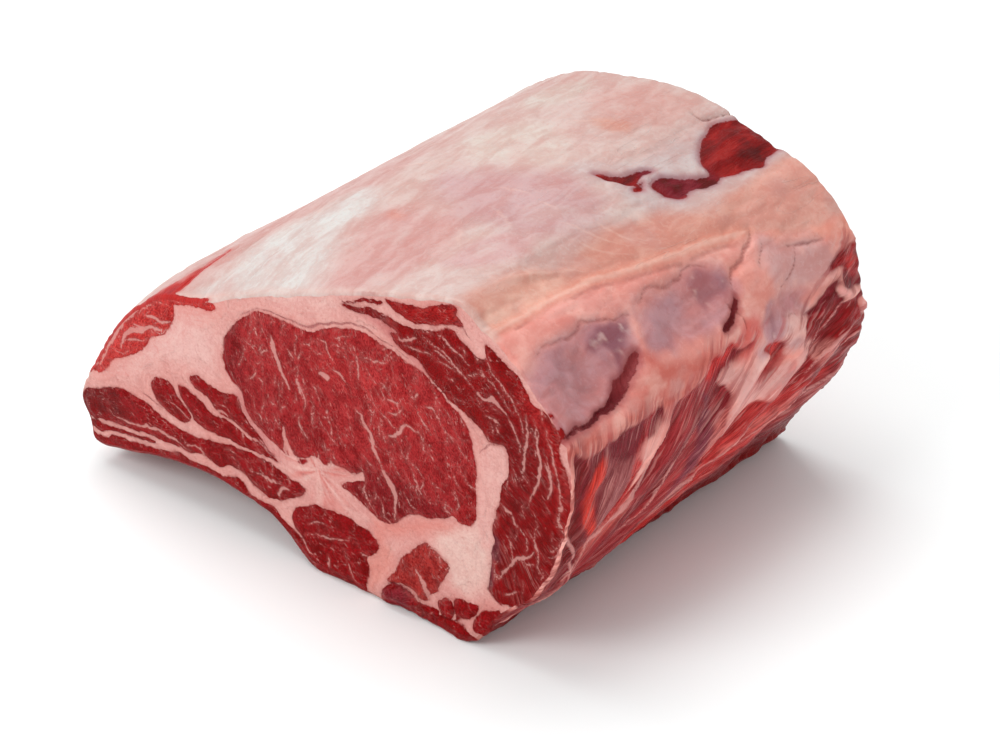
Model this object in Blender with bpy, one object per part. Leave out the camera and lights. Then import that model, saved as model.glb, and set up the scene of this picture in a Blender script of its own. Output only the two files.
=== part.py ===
"""Raw beef rib roast: one solid, boneless block of meat under its fat cap.

The block is a loft. Its cross-section is a closed curve through named
landmarks, given once for the near cut and once for the far cut, and the
landmarks pass smoothly from one to the other along the length. Low forms are
then pressed into the surface or raised from it along the section's normal:
the hollows that the feather bones leave on the chine side, the window in the
back of the fat cap, the strands of the chine muscles and the grooves that the
rib bones leave underneath.

Frame: origin at the centre of the underside, +X to the chine side, +Y along
the length towards the far cut, +Z up. Metres.
"""

import math

import bmesh
import bpy
import numpy as np

MM = 0.001
WIDTH = 253 * MM
LENGTH = 190 * MM
HALF_WIDTH_IN_TABLE = 126.5
STATIONS = 42
SAMPLES_PER_SPAN = 3

# The cross-section, clockwise seen from the near cut: name, (near cut),
# (far cut), each as x and z in millimetres on a block 253 mm wide.
LANDMARKS = (
    ("tail tip", (-126.5, 30), (-119, 26)),
    ("tail edge", (-115, 51), (-111, 50)),
    ("tail brow", (-100, 73), (-95, 76)),
    ("tail top", (-80, 90), (-75, 94)),
    ("cap left", (-56, 98), (-56, 113)),
    ("cap mid left", (-24, 112), (-26, 132)),
    ("cap middle", (14, 126), (11, 140)),
    ("crown left", (46, 137), (35, 141)),
    ("crown", (71, 143), (55, 137)),
    ("ridge notch", (83, 137), (73, 131)),
    ("chine top", (96, 130), (88, 127)),
    ("chine shoulder", (114, 114), (105, 114)),
    ("chine upper", (123, 101), (114, 102)),
    ("chine outermost", (126.5, 84), (119, 84)),
    ("chine middle", (122, 61), (119, 64)),
    ("chine low", (111, 36), (110, 42)),
    ("chine foot", (91, 15), (94, 17)),
    ("heel", (77, 0), (79, 0)),
    ("base right", (56, 0), (56, 0)),
    ("base middle", (30, 0), (30, 0)),
    ("base left", (3, 0), (3, 0)),
    ("arch start", (-10, 5), (-10, 4)),
    ("arch rise", (-26, 14), (-26, 12)),
    ("arch top", (-58, 18), (-54, 15)),
    ("arch left", (-84, 15), (-78, 9)),
    ("tail foot", (-104, 11), (-95, 0)),
    ("tail under", (-120, 9), (-111, 0)),
    ("tail step", (-123, 19), (-116, 11)),
)

# The fat cap stands a little proud of the near cut's outline behind the cut:
# name, share of CAP_SWELL along x, share along z.
CAP_SWELL = 7.5 * MM
SWELL_START = 30 * MM
SWOLLEN = (
    ("tail edge", -0.4, 0.3),
    ("tail brow", -0.6, 0.6),
    ("tail top", -0.5, 0.8),
    ("cap left", -0.3, 1.0),
    ("cap mid left", -0.1, 0.9),
    ("cap middle", 0.0, 0.5),
    ("crown left", 0.0, 0.2),
)

# Hollows where the feather bones were cut away: centre y and z, half length
# and half height.
BONE_HOLLOWS = (
    (-66 * MM, 113 * MM, 27 * MM, 17 * MM),
    (-8 * MM, 113 * MM, 28 * MM, 16 * MM),
    (55 * MM, 98 * MM, 24 * MM, 17 * MM),
)
BONE_HOLLOW_DEPTH = 4.0 * MM
CHINE_SIDE_FROM = 90 * MM

# Window in the back of the fat cap, where red meat shows, and the slit that
# runs forward from it.
WINDOW_CENTRE = (65 * MM, 77 * MM)
WINDOW_RADIUS = 19 * MM
WINDOW_DEPTH = 3.5 * MM
SLIT_START = (46 * MM, 18 * MM)
SLIT_END = (73 * MM, 48 * MM)
SLIT_HALF_WIDTH = 6 * MM
SLIT_DEPTH = 2.5 * MM

# Long strands of the chine muscles, which climb from the heel to the back.
STRAND_SPACING = 30 * MM
STRAND_HEIGHT = 1.6 * MM
STRAND_CLIMB = 0.8
STRAND_TOP = 88 * MM
STRAND_FOOT = 14 * MM

# Grooves across the arched rib side, where the rib bones lay.
RIB_SPACING = 44 * MM
RIB_GROOVE_DEPTH = 3.0 * MM
RIB_SIDE_TOP = 30 * MM
RIB_SIDE_LEFT = -100 * MM
RIB_SIDE_RIGHT = -6 * MM

FAT_COLOUR = (0.80, 0.47, 0.38, 1.0)
MEAT_COLOUR = (0.27, 0.022, 0.022, 1.0)
FAT_ROUGHNESS = 0.45
MEAT_ROUGHNESS = 0.38


def smoothstep(low, high, value):
    share = min(max((value - low) / (high - low), 0.0), 1.0)
    return share * share * (3.0 - 2.0 * share)


def dome(distance):
    """1 in the middle, falling smoothly to 0 at a distance of 1."""
    return (1.0 - distance * distance) ** 2 if distance < 1.0 else 0.0


def section_landmarks(along):
    """Landmarks of the section at a share of the length, 0 near to 1 far."""
    near = np.array([row[1] for row in LANDMARKS], float)
    far = np.array([row[2] for row in LANDMARKS], float)
    share = math.sin(0.5 * math.pi * along)
    scale = 0.5 * WIDTH / HALF_WIDTH_IN_TABLE
    points = (near * (1.0 - share) + far * share) * scale
    rise = 1.0 - math.exp(-along * LENGTH / SWELL_START)
    swell = CAP_SWELL * rise * math.cos(0.5 * math.pi * along) ** 2
    names = [row[0] for row in LANDMARKS]
    for name, x_share, z_share in SWOLLEN:
        points[names.index(name)] += (x_share * swell, z_share * swell)
    return points


def closed_curve(points, samples):
    """A closed smooth curve through the points, sampled evenly on each span."""
    before = np.roll(points, 1, axis=0)
    after = np.roll(points, -1, axis=0)
    second_after = np.roll(points, -2, axis=0)
    steps = []
    for step in range(samples):
        u = step / samples
        linear = (after - before) * u
        square = (2.0 * before - 5.0 * points + 4.0 * after - second_after) * u**2
        cubic = (3.0 * points - before - 3.0 * after + second_after) * u**3
        steps.append(0.5 * (2.0 * points + linear + square + cubic))
    return np.stack(steps, axis=1).reshape(-1, 2)


def outward_normals(outline):
    """Unit normals of a clockwise outline in its own plane."""
    tangent = np.roll(outline, -1, axis=0) - np.roll(outline, 1, axis=0)
    normal = np.stack([-tangent[:, 1], tangent[:, 0]], axis=1)
    return normal / np.linalg.norm(normal, axis=1)[:, None]


def bone_hollows(x, y, z):
    depth = 0.0
    for centre_y, centre_z, half_length, half_height in BONE_HOLLOWS:
        distance = math.hypot((y - centre_y) / half_length, (z - centre_z) / half_height)
        depth = max(depth, dome(distance))
    return -BONE_HOLLOW_DEPTH * depth * smoothstep(CHINE_SIDE_FROM, CHINE_SIDE_FROM + 10 * MM, x)


def cap_window(x, y, z):
    on_top = smoothstep(100 * MM, 115 * MM, z)
    distance = math.hypot(x - WINDOW_CENTRE[0], y - WINDOW_CENTRE[1]) / WINDOW_RADIUS
    window = WINDOW_DEPTH * (1.0 - smoothstep(0.7, 1.1, distance))
    run_x = SLIT_END[0] - SLIT_START[0]
    run_y = SLIT_END[1] - SLIT_START[1]
    share = ((x - SLIT_START[0]) * run_x + (y - SLIT_START[1]) * run_y) / (run_x**2 + run_y**2)
    share = min(max(share, 0.0), 1.0)
    away = math.hypot(x - SLIT_START[0] - share * run_x, y - SLIT_START[1] - share * run_y)
    slit = SLIT_DEPTH * dome(away / SLIT_HALF_WIDTH)
    return -max(window, slit) * on_top


def chine_strands(x, y, z):
    side = smoothstep(STRAND_FOOT, STRAND_FOOT + 12 * MM, z)
    side *= 1.0 - smoothstep(STRAND_TOP - 12 * MM, STRAND_TOP, z)
    side *= smoothstep(CHINE_SIDE_FROM, CHINE_SIDE_FROM + 12 * MM, x)
    side *= smoothstep(0.0, 15 * MM, 0.5 * LENGTH - abs(y))
    across = z - STRAND_CLIMB * y
    return STRAND_HEIGHT * side * math.sin(2.0 * math.pi * across / STRAND_SPACING)


def rib_grooves(x, y, z):
    underneath = 1.0 - smoothstep(RIB_SIDE_TOP - 8 * MM, RIB_SIDE_TOP, z)
    underneath *= smoothstep(RIB_SIDE_LEFT, RIB_SIDE_LEFT + 15 * MM, x)
    underneath *= 1.0 - smoothstep(RIB_SIDE_RIGHT - 15 * MM, RIB_SIDE_RIGHT, x)
    groove = 0.5 - 0.5 * math.cos(2.0 * math.pi * y / RIB_SPACING)
    return -RIB_GROOVE_DEPTH * underneath * groove


RELIEF = (bone_hollows, cap_window, chine_strands, rib_grooves)


def section_points(station):
    """The section's outline with its relief, as points of the block."""
    along = station / STATIONS
    y = (along - 0.5) * LENGTH
    outline = closed_curve(section_landmarks(along), SAMPLES_PER_SPAN)
    normals = outward_normals(outline)
    points = []
    for (x, z), (normal_x, normal_z) in zip(outline, normals):
        raised = sum(form(x, y, z) for form in RELIEF)
        points.append((x + raised * normal_x, y, max(z + raised * normal_z, 0.0)))
    return points


def plain_material(name, colour, roughness):
    material = bpy.data.materials.new(name)
    material.use_nodes = True
    shader = material.node_tree.nodes["Principled BSDF"]
    shader.inputs["Base Color"].default_value = colour
    shader.inputs["Roughness"].default_value = roughness
    shader.inputs["Metallic"].default_value = 0.0
    return material


def make_roast(collection):
    body = bmesh.new()
    rings = []
    for station in range(STATIONS + 1):
        rings.append([body.verts.new(point) for point in section_points(station)])
    count = len(rings[0])
    for near, far in zip(rings, rings[1:]):
        for i in range(count):
            j = (i + 1) % count
            body.faces.new((near[i], near[j], far[j], far[i]))
    near_cut = body.faces.new(rings[0])
    far_cut = body.faces.new(list(reversed(rings[-1])))
    near_cut.material_index = 1
    far_cut.material_index = 1
    bmesh.ops.recalc_face_normals(body, faces=body.faces)
    mesh = bpy.data.meshes.new("roast")
    body.to_mesh(mesh)
    body.free()
    mesh.shade_smooth()
    mesh.set_sharp_from_angle(angle=math.radians(50))
    mesh.materials.append(plain_material("fat cap", FAT_COLOUR, FAT_ROUGHNESS))
    mesh.materials.append(plain_material("cut meat", MEAT_COLOUR, MEAT_ROUGHNESS))
    roast = bpy.data.objects.new("roast", mesh)
    collection.objects.link(roast)
    return roast


def main():
    for old in list(bpy.data.objects):
        bpy.data.objects.remove(old, do_unlink=True)
    collection = bpy.data.collections.new("beef rib roast")
    bpy.context.scene.collection.children.link(collection)
    make_roast(collection)


main()
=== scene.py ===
"""Looks of the raw beef rib roast.

The roast's skin is three closed pieces that meet along the rims of its two
cuts: the near cut, the outer surface between the cuts, and the far cut. The
outer surface is a loft through the same section landmarks as the solid, with
finer relief. Each cut is a fine mesh inside the loft's end.

Muscles, veins, membranes and stains are outlines on those surfaces, in
millimetres, written as the two coordinates of each point in turn. Each point
of a mesh stores how deep it lies inside them, and the materials turn those
depths into edges, colour, gloss and bump. Some of them paint light into the
colour: painted shadow in the pockets, painted shade in the creases, the slots
and the recess behind the near cut, and painted highlights on the ridges and
the whitest parts of the cap.

Lengths are millimetres up to the making of a mesh, which turns them to metres.
Frame: +X to the chine side, +Y towards the far cut, +Z up, origin under the
middle of the roast.
"""

import functools
import itertools
import math

import bpy
import numpy as np
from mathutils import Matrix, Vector
from mathutils.geometry import delaunay_2d_cdt

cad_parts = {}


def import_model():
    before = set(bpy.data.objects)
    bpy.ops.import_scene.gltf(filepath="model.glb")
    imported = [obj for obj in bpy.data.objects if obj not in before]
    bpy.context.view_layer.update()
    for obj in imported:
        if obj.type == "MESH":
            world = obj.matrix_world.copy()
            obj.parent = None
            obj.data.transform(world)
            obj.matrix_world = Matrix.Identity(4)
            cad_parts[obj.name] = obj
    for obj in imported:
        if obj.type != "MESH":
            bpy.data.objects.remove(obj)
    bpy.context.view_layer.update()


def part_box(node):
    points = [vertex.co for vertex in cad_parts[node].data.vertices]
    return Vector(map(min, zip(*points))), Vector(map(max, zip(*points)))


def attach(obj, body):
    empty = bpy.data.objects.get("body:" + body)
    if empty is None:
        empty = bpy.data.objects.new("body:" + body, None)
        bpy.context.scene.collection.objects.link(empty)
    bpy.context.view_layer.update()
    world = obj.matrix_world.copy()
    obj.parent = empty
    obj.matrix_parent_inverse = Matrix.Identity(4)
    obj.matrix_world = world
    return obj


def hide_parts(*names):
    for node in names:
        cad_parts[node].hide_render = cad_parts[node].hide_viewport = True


MM = 0.001
HALF_WIDTH_IN_TABLE = 126.5

# How far from an outline or a line its depth is worked out. A mark is hidden
# where it is lowered by HIDDEN.
REACH = 8.0
STAIN_REACH = 14.0
VEIN_REACH = 3.0
MARBLING_REACH = 2.0
HIDDEN = 2.0 * REACH

# A smooth curve passes through its points; a piece of it needs four of them.
CURVE_SAMPLES = 4
NEIGHBOURS = (-1, 0, 1, 2)

# The section's landmarks, clockwise seen from the near cut: x and z on the
# near cut, then on the far cut.
LANDMARKS = (
    ("tail tip", (-126.5, 30), (-119, 26)),
    ("tail edge", (-115, 51), (-111, 50)),
    ("tail brow", (-100, 73), (-95, 76)),
    ("tail top", (-80, 90), (-75, 94)),
    ("cap left", (-56, 98), (-56, 113)),
    ("cap mid left", (-24, 112), (-26, 132)),
    ("cap middle", (14, 126), (11, 140)),
    ("crown left", (46, 137), (35, 141)),
    ("crown", (71, 143), (55, 137)),
    ("ridge notch", (83, 137), (73, 131)),
    ("chine top", (96, 130), (88, 127)),
    ("chine shoulder", (114, 114), (105, 114)),
    ("chine upper", (123, 101), (114, 102)),
    ("chine outermost", (126.5, 84), (119, 84)),
    ("chine middle", (122, 61), (119, 64)),
    ("chine low", (111, 36), (110, 42)),
    ("chine foot", (91, 15), (94, 17)),
    ("heel", (77, 0), (79, 0)),
    ("base right", (56, 0), (56, 0)),
    ("base middle", (30, 0), (30, 0)),
    ("base left", (3, 0), (3, 0)),
    ("arch start", (-10, 5), (-10, 4)),
    ("arch rise", (-26, 14), (-26, 12)),
    ("arch top", (-58, 18), (-54, 15)),
    ("arch left", (-84, 15), (-78, 9)),
    ("tail foot", (-104, 11), (-95, 0)),
    ("tail under", (-120, 9), (-111, 0)),
    ("tail step", (-123, 19), (-116, 11)),
)
LANDMARK_NAMES = [row[0] for row in LANDMARKS]
HEEL = LANDMARK_NAMES.index("heel")

# The fat cap stands proud of the near cut's outline behind the cut.
CAP_SWELL = 7.5
SWELL_START = 30.0
SWOLLEN = (
    ("tail edge", -0.4, 0.3),
    ("tail brow", -0.6, 0.6),
    ("tail top", -0.5, 0.8),
    ("cap left", -0.3, 1.0),
    ("cap mid left", -0.1, 0.9),
    ("cap middle", 0.0, 0.5),
    ("crown left", 0.0, 0.2),
)

# Mesh fineness.
SKIN_STEP = 1.12
UNDERSIDE_STEP = 2.0
NEAR_CUT_STEP = 0.70
FAR_CUT_STEP = 0.95
RIM_RADIUS = 1.4
RIM_RINGS = (0.0, 30.0, 60.0, 90.0)
PLUG_CENTRE = (0.0, 60.0)
PLUG_DEPTH = 6.0
PLUG_GAP = 0.6
RIM_INSET = 0.02
SHARP_FROM = 60

# Maps: margin and span of the outer skin, where its second strip begins, the
# hidden faces, and scale and base of a cut's face and of its back.
MAP_MARGIN = 0.01
MAP_SPAN = 0.96
SECOND_STRIP = 0.48
HIDDEN_UV = (0.98, 0.98)
FACE_MAP = (0.98, 0.01)
BACK_MAP = (0.5, 0.65)

# Seeds of the noise on the cuts and in the far cut's relief.
NEAR_CUT_SEED = 3
FAR_CUT_SEED = 17
FAR_RELIEF_SEED = 23

# Low forms that the solid has too.
BONE_HOLLOWS = ((-66, 113, 27, 17), (-8, 113, 28, 16), (55, 98, 24, 17))
BONE_HOLLOW_DEPTH = 4.0
STRAND_SPACING = 30.0
STRAND_HEIGHT = 1.6
STRAND_CLIMB = 0.8
RIB_SPACING = 44.0
RIB_GROOVE_DEPTH = 3.0
CHINE_FROM = 90
HEEL_SWELL = (-44, 18, 34, 18)
HEEL_SWELL_HEIGHT = 2.2
HEEL_POINT = (-130.0, -10.0)
# Where the meat of the underside ends, as a stop round the section.
TAIL_STOP = 26.9


def tone(red, green, blue):
    """Linear colour of display values from 0 to 255."""
    values = np.array([red, green, blue]) / 255.0
    return np.where(values > 0.04045, ((values + 0.055) / 1.055) ** 2.4, values / 12.92)


# Muscles of the cut: name, colour, heading of the fibres (None follows the
# crescent round the eye), outline in x and z.
EYE_RED = tone(169, 41, 44)
CAP_RED = tone(142, 15, 19)
DEEP_RED = tone(148, 19, 24)
BRIGHT_RED = tone(202, 54, 52)
SOFT_RED = tone(168, 46, 44)
MUSCLES = (
    ("eye", EYE_RED, -1.15, (-44, 86, -39, 92, -36, 96, -32, 99.8, -27, 102.8, -19.5, 104.4,
        -10, 104.6, -1, 104.6, 7.5, 108.4, 17.5, 113, 24, 114, 29.5, 113.3, 35, 111.8, 41, 110.6,
        45.5, 109, 50, 108.3, 53, 107.7, 56, 106.6, 59.3, 104.9, 62.7, 103, 66, 101, 69, 99,
        71.5, 97.3, 74.5, 94.7, 76.5, 91.3, 78.5, 85.5, 79.5, 80, 80, 72, 80, 64.5, 79.5, 55.5,
        75.5, 51.5, 71.5, 50, 69.5, 52.5, 65, 51, 57, 46.5, 48, 45.5, 42, 39, 35, 36, 28, 38,
        19, 42, 15, 44.5, 22, 49, 25.5, 50, 25, 54, 20, 51, 11, 51.5, 7, 50, 2, 52, -5, 48.5,
        -10, 48.5, -13, 56, -14.5, 58, -14.5, 52, -12.5, 46, -20, 48.5, -27, 52, -33, 58, -35, 65,
        -41, 68, -45, 76, -44.5, 82)),
    ("eye islet", EYE_RED, -1.15, (-8, 46, -4, 46.5, -2.5, 48.2, -6, 48.2)),
    ("cap", CAP_RED, None, (17.5, 122.3, 25, 123.7, 31, 125.6, 35.5, 125, 41.5, 124.4, 48.5, 124.4,
        55.5, 125.4, 62, 127.8, 69, 130, 75, 126.5, 80, 124, 84, 125, 84, 130.5, 92, 127, 100, 122,
        106, 114, 113, 112, 118, 107, 118, 99, 122, 90, 123, 82, 121, 68, 117, 57, 113, 45, 107, 34,
        101, 26, 96, 25, 89, 23, 84.5, 26.5, 85, 30, 87, 42, 88, 49.5, 88.5, 56.5, 89.5, 63,
        91.5, 69, 92.5, 75, 94.5, 79.5, 95.5, 86.5, 95, 90.3, 92.5, 92.2, 88, 91.8, 85, 92.8,
        82.5, 95, 79, 97, 75.5, 98.5, 72.5, 99.5, 69, 100.6, 66.2, 101.7, 63.2, 103.5, 60, 105.5,
        57, 107.6, 54.7, 110, 51.5, 112.3, 47, 112.7, 42.5, 114.8, 39.5, 118, 42, 120, 38, 121.5,
        32, 122, 25, 121, 18, 120.7)),
    ("strip left", CAP_RED, -0.1, (17.5, 123.4, 21.5, 125.4, 26, 127.6, 30, 129.2, 34.5, 130.2,
        36.5, 129.8, 34.5, 128.6, 29.5, 127.3, 25, 126.2, 20, 123.6)),
    ("strip right", CAP_RED, 0.2, (38, 131.5, 41.5, 132.3, 48.5, 133.8, 56.5, 135.5, 64.5, 139,
        70, 141, 72, 139.5, 71.5, 137, 74, 133, 69, 131.8, 61, 129.5, 53, 127.2, 46, 127.5,
        40.5, 129)),
    ("upper left", BRIGHT_RED, 1.0, (-118, 44, -112, 57, -102, 73, -90, 86, -80, 94, -72, 95.5,
        -60, 97.5, -48.5, 99, -49, 96, -53, 94.5, -59.5, 93.5, -67.5, 91, -70.5, 89.5, -70, 85,
        -72.5, 80, -78, 74, -83.5, 70, -89.5, 62.5, -93, 59.5, -99.5, 57, -106.5, 51.5,
        -113, 44.5)),
    ("left lower", DEEP_RED, -0.2, (-128, 30, -122, 33, -112, 37, -103, 41, -90, 40, -78, 36.5,
        -65, 35, -50, 36.5, -38, 38.5, -22, 38, -10, 36, -3.5, 34, -8, 29, -16, 24, -24, 22,
        -30, 24, -37, 27, -44, 27.5, -52, 25.5, -58, 27.5, -64, 26.5, -80, 26, -95, 24.5, -110, 23,
        -120, 21, -126, 24)),
    ("thin strip", DEEP_RED, 0.1, (-123, 16, -115, 16, -108, 18.4, -98, 20.6, -86, 22, -86, 23.5,
        -98, 22.5, -110, 20.8, -122, 19.8)),
    ("bottom strip", DEEP_RED, -0.1, (-124, 14, -118, 13.3, -112, 14, -107, 16.4, -97, 18.5,
        -85, 20, -73, 23, -60, 22.5, -48, 22.5, -40, 24, -33, 20, -22, 18.5, -13, 14, -6, 10, 2, 7,
        0, -2, -10, 2, -22, 10, -40, 15, -60, 17, -80, 14, -100, 10, -115, 6.5, -124, 7)),
    ("middle low", DEEP_RED, -0.5, (-85.5, 49, -81.5, 53.5, -75, 54, -69, 48.5, -64, 43, -67, 38.7,
        -75, 40, -82, 44)),
    ("middle", DEEP_RED, -0.3, (-69, 55, -60, 54, -52, 49, -44, 49, -38, 47, -28, 44.5, -18, 41,
        -30, 40, -42, 40, -52, 40, -61, 42, -66, 47, -70, 53)),
    ("middle high", DEEP_RED, -0.6, (-63, 61, -59, 64, -54, 62.5, -46, 60.5, -38, 62, -35, 56,
        -28, 48, -20, 43, -30, 46, -40, 49.5, -47, 50.5, -54, 55.5, -61, 58.5)),
    ("lower centre", DEEP_RED, -0.4, (-11, 22, -4, 27, 3, 30, 12, 31, 20, 30.5, 30.5, 27, 33, 24.5,
        31, 20, 27, 16, 28.5, 12, 27, 4, 26, -2, 0, -2, -7, 10, -10.5, 16)),
    ("small", SOFT_RED, -0.9, (53, 33.5, 56, 34.5, 62.5, 32, 67, 28, 62, 19.5, 60, 15, 57, 12.5,
        57.5, 10.6, 52.5, 9.8, 50.5, 11.5, 44, 12, 37.5, 10.5, 37.5, 12.5, 42, 19.5, 46.5, 27.5)),
    ("small low", DEEP_RED, 0.1, (35, 4, 36.5, 8.5, 40, 10.8, 45.5, 10.8, 49.5, 9.6, 53, 8.6, 54, 4,
        51, -3, 34, -3)),
    ("low bit", DEEP_RED, 0.2, (53.5, 7.6, 56, 8.4, 59.6, 8, 62, 6.4, 61.5, -3, 51, -3, 54, 3)),
    ("low bit right", DEEP_RED, 0.0, (60, -3, 61, 5.4, 64, 6.6, 69, 7.4, 74.5, 7.6, 79.5, 5, 82, 1,
        82, -3)),
    ("heel bit left", DEEP_RED, -0.6, (61.5, 10.5, 65, 14.5, 68, 13.5, 69, 9, 67.5, 6.9,
        63.5, 6.9)),
    ("heel bit", DEEP_RED, -0.4, (68.8, 14.5, 73, 17.5, 78.5, 18.5, 80.5, 17, 78.5, 12.5, 71.5, 8.2,
        70, 8.9)),
    ("heel bit right", DEEP_RED, -0.6, (79, 9.5, 81.5, 15, 86, 18.5, 90.5, 20, 92, 16.5, 90.5, 12,
        86, 8, 81, 6.4)),
    ("heel bit far right", DEEP_RED, -0.8, (90.5, 17.5, 95, 22, 97, 22, 95, 17, 91.5, 14)),
)

# Fat lines through the muscles, in x and z, grouped by their width.
VEINS = (
    (0.8, ((-90, 79, -86, 84, -80, 85.5),)),
    (0.9, ((-10, 93, -7, 91), (16, 109, 16, 107), (26, 103, 33, 104, 38, 105), (41, 99, 43, 97),
        (37, 90, 45, 91), (-26, 82, -24, 83), (-26, 76, -23, 74), (-20, 67, -17, 66), (26, 50,
        26, 46, 28, 42, 30, 40), (51, 95, 52, 99), (58, 75, 60, 73), (72, 96, 74, 93), (48, 66,
        51, 61, 52, 57, 54, 52), (55, 62, 54, 58), (66, 58, 65, 54), (38, 84, 43, 86, 46, 90),
        (75.5, 114.5, 82.5, 118, 88, 116, 92.5, 112, 97, 107.5), (60, 119.5, 64.5, 118, 68, 116.5),
        (117.5, 72, 119.5, 68.5, 118.5, 61, 115, 57.5, 115.5, 60.5), (99.5, 62, 104, 58.5, 103, 52),
        (-84, 86, -79, 88, -72, 89), (-83, 73, -78, 75.5, -74, 79.5), (-80, 91, -74, 92, -66, 92.5),
        (-104, 60, -100, 58.5, -95, 61), (8, 11, 9, 5), (24, 17, 28, 16))),
    (1.0, ((-27, 96, -26, 92), (5, 104, 9, 104, 10, 100, 13, 97), (42, 77, 44, 81, 46, 82.5, 50, 83,
        54, 81), (-4, 67, -6, 65, -5, 62, -3, 60, -2, 58), (53, 90, 55, 87, 58, 84), (55, 94,
        59, 95, 62, 91), (70, 64, 72, 60, 72, 56), (91, 109, 96, 104, 100, 98.5, 101, 94),
        (84.5, 126, 88, 121, 92.5, 117, 97, 112.5, 100.5, 107, 102, 99.5), (112.5, 107.5, 114, 100,
        117, 93, 119, 85.5, 118.5, 75, 117, 68.5), (101, 48, 104, 47, 107.5, 48), (94, 55.5,
        96.5, 52.5, 97, 47, 97, 44), (93, 28.5, 96.5, 30.5, 100, 33.5), (-98, 64.5, -92, 66.5,
        -85, 70), (-76, 46, -70, 44.5, -64, 41), (-34, 33, -30, 31, -20, 31, -14, 32), (-3, 19,
        2, 22, 10, 23), (-5, 14, 3, 17, 10, 18, 16, 20.5, 20, 23), (16, 14, 18, 10, 22, 5, 25, 3))),
    (1.1, ((62, 126.5, 66.5, 124.5, 71, 122, 77, 120), (55, 123, 58.5, 121.5, 64.5, 120, 70, 116.5,
        75.5, 112.5, 79, 110), (109.5, 66, 108, 62, 108, 55.5, 109.5, 52.5, 109, 46))),
    (1.2, ((-6, 87, -5, 80, -4, 77, -2, 73), (41, 48, 41, 44, 41, 39), (7.5, 45, 9, 49, 10, 53),
        (42, 11.3, 48, 11, 52, 9.2, 58, 8.8), (-93.5, 74.5, -88.5, 74.2, -82, 76.5), (42, 119,
        46, 118, 50, 120, 52, 121), (-66, 29.5, -59, 31, -57, 26), (-29, 47, -22, 43), (-12, 14,
        -8, 12, -2, 8, 2, 7))),
    (1.3, ((84.5, 102.5, 89, 102.7, 91.5, 101), (102.5, 109.5, 103.5, 102, 102.5, 91.5, 102, 83),
        (91.5, 68, 95, 66.8, 97.5, 65.5, 98.5, 62, 100, 61.2), (-3, 43, -6, 46, -8.8, 48.5))),
    (1.4, ((24, 103, 24.5, 98, 25, 94), (111.5, 93, 115, 88, 114, 79.5), (89, 32.5, 93, 38, 97, 45,
        101, 48.5, 105.5, 51.5, 108, 54.5), (2, 43, 1.6, 48, 1, 53), (5, 44.5, 4.5, 49, 3.5, 54.5),
        (-50, 51, -46, 52, -43, 50))),
    (1.5, ((11, 93.5, 15, 93, 18, 89.5), (-87, 80.5, -80, 81, -71, 82.5), (-110, 28, -95, 27.3,
        -85.5, 30, -74, 30, -67, 27.5))),
    (1.6, ((38, 75, 42, 76, 44, 79, 46, 83), (107.5, 107.5, 108, 99.5, 109.5, 92, 109.5, 84,
        107, 79, 105, 75), (-18, 25, -16, 29, -12, 31))),
    (1.7, ((-117.5, 44.5, -112, 51.5, -105, 63, -98, 72.8, -90, 81.5, -86, 85),)),
    (1.8, ((22, 80, 26, 79, 28, 75, 30, 72, 31, 67, 33, 62, 36, 58), (80, 110, 82.5, 108.3,
        87, 109.8, 91.5, 108.5, 95, 105))),
    (1.9, ((-13.5, 43, -13.8, 50, -13.5, 58),)),
    (2.0, ((10, 47.5, 17.5, 49.2, 25, 53),)),
    (2.2, ((57.8, 10, 56.5, 13.5, 54, 17.5, 51.5, 21.8),)),
    (2.4, ((-19, 96, -18, 92, -17, 88, -14, 83, -10, 76.5), (-99.5, 62, -98, 66.5, -91.5, 71.5,
        -84, 75, -77, 78))),
    (2.6, ((6, 89, 10, 89.5),)),
    (3.2, ((35, 59, 38, 55, 41, 52, 41, 46),)),
)
MARBLING_SEED = 11
MARBLING_BOX = ((-44, 28), (122, 128))
MARBLING_COUNT = 300
EYE_HEADING = -1.15
CRESCENT_CENTRE = (45.0, 70.0)
CRESCENT_RADIUS = 45.0

# Dark membranes on the cut, in x and z, grouped by their width.
CUT_MEMBRANES = (
    (0.9, ((50.6, 7.5, 50.9, 4, 49, 0), (59.6, 7.4, 60, 4, 59.3, 0), (81, 85, 86.5, 90.5,
        92.3, 92))),
    (1.0, ((-36, 97, -33, 100.4, -26, 104.2, -19.5, 105.6, -10, 105.9, -1, 106, 7.5, 110, 12, 112.3,
        17.5, 114.7, 23.5, 115.8, 29.5, 115, 35, 113.5, 41, 112.3, 45.5, 110.6, 49, 109.8),
        (-91, 44, -87, 43, -84, 42, -79, 41.3), (69, 131.5, 72, 134, 74, 132, 77, 129.5))),
    (1.1, ((36, 9.3, 41, 10.8, 46.5, 10.6, 50.5, 8.6),)),
    (1.2, ((-44.3, 86, -44.8, 81.5, -43.3, 75.5, -39.8, 69.5, -36, 65.5),)),
)

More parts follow.
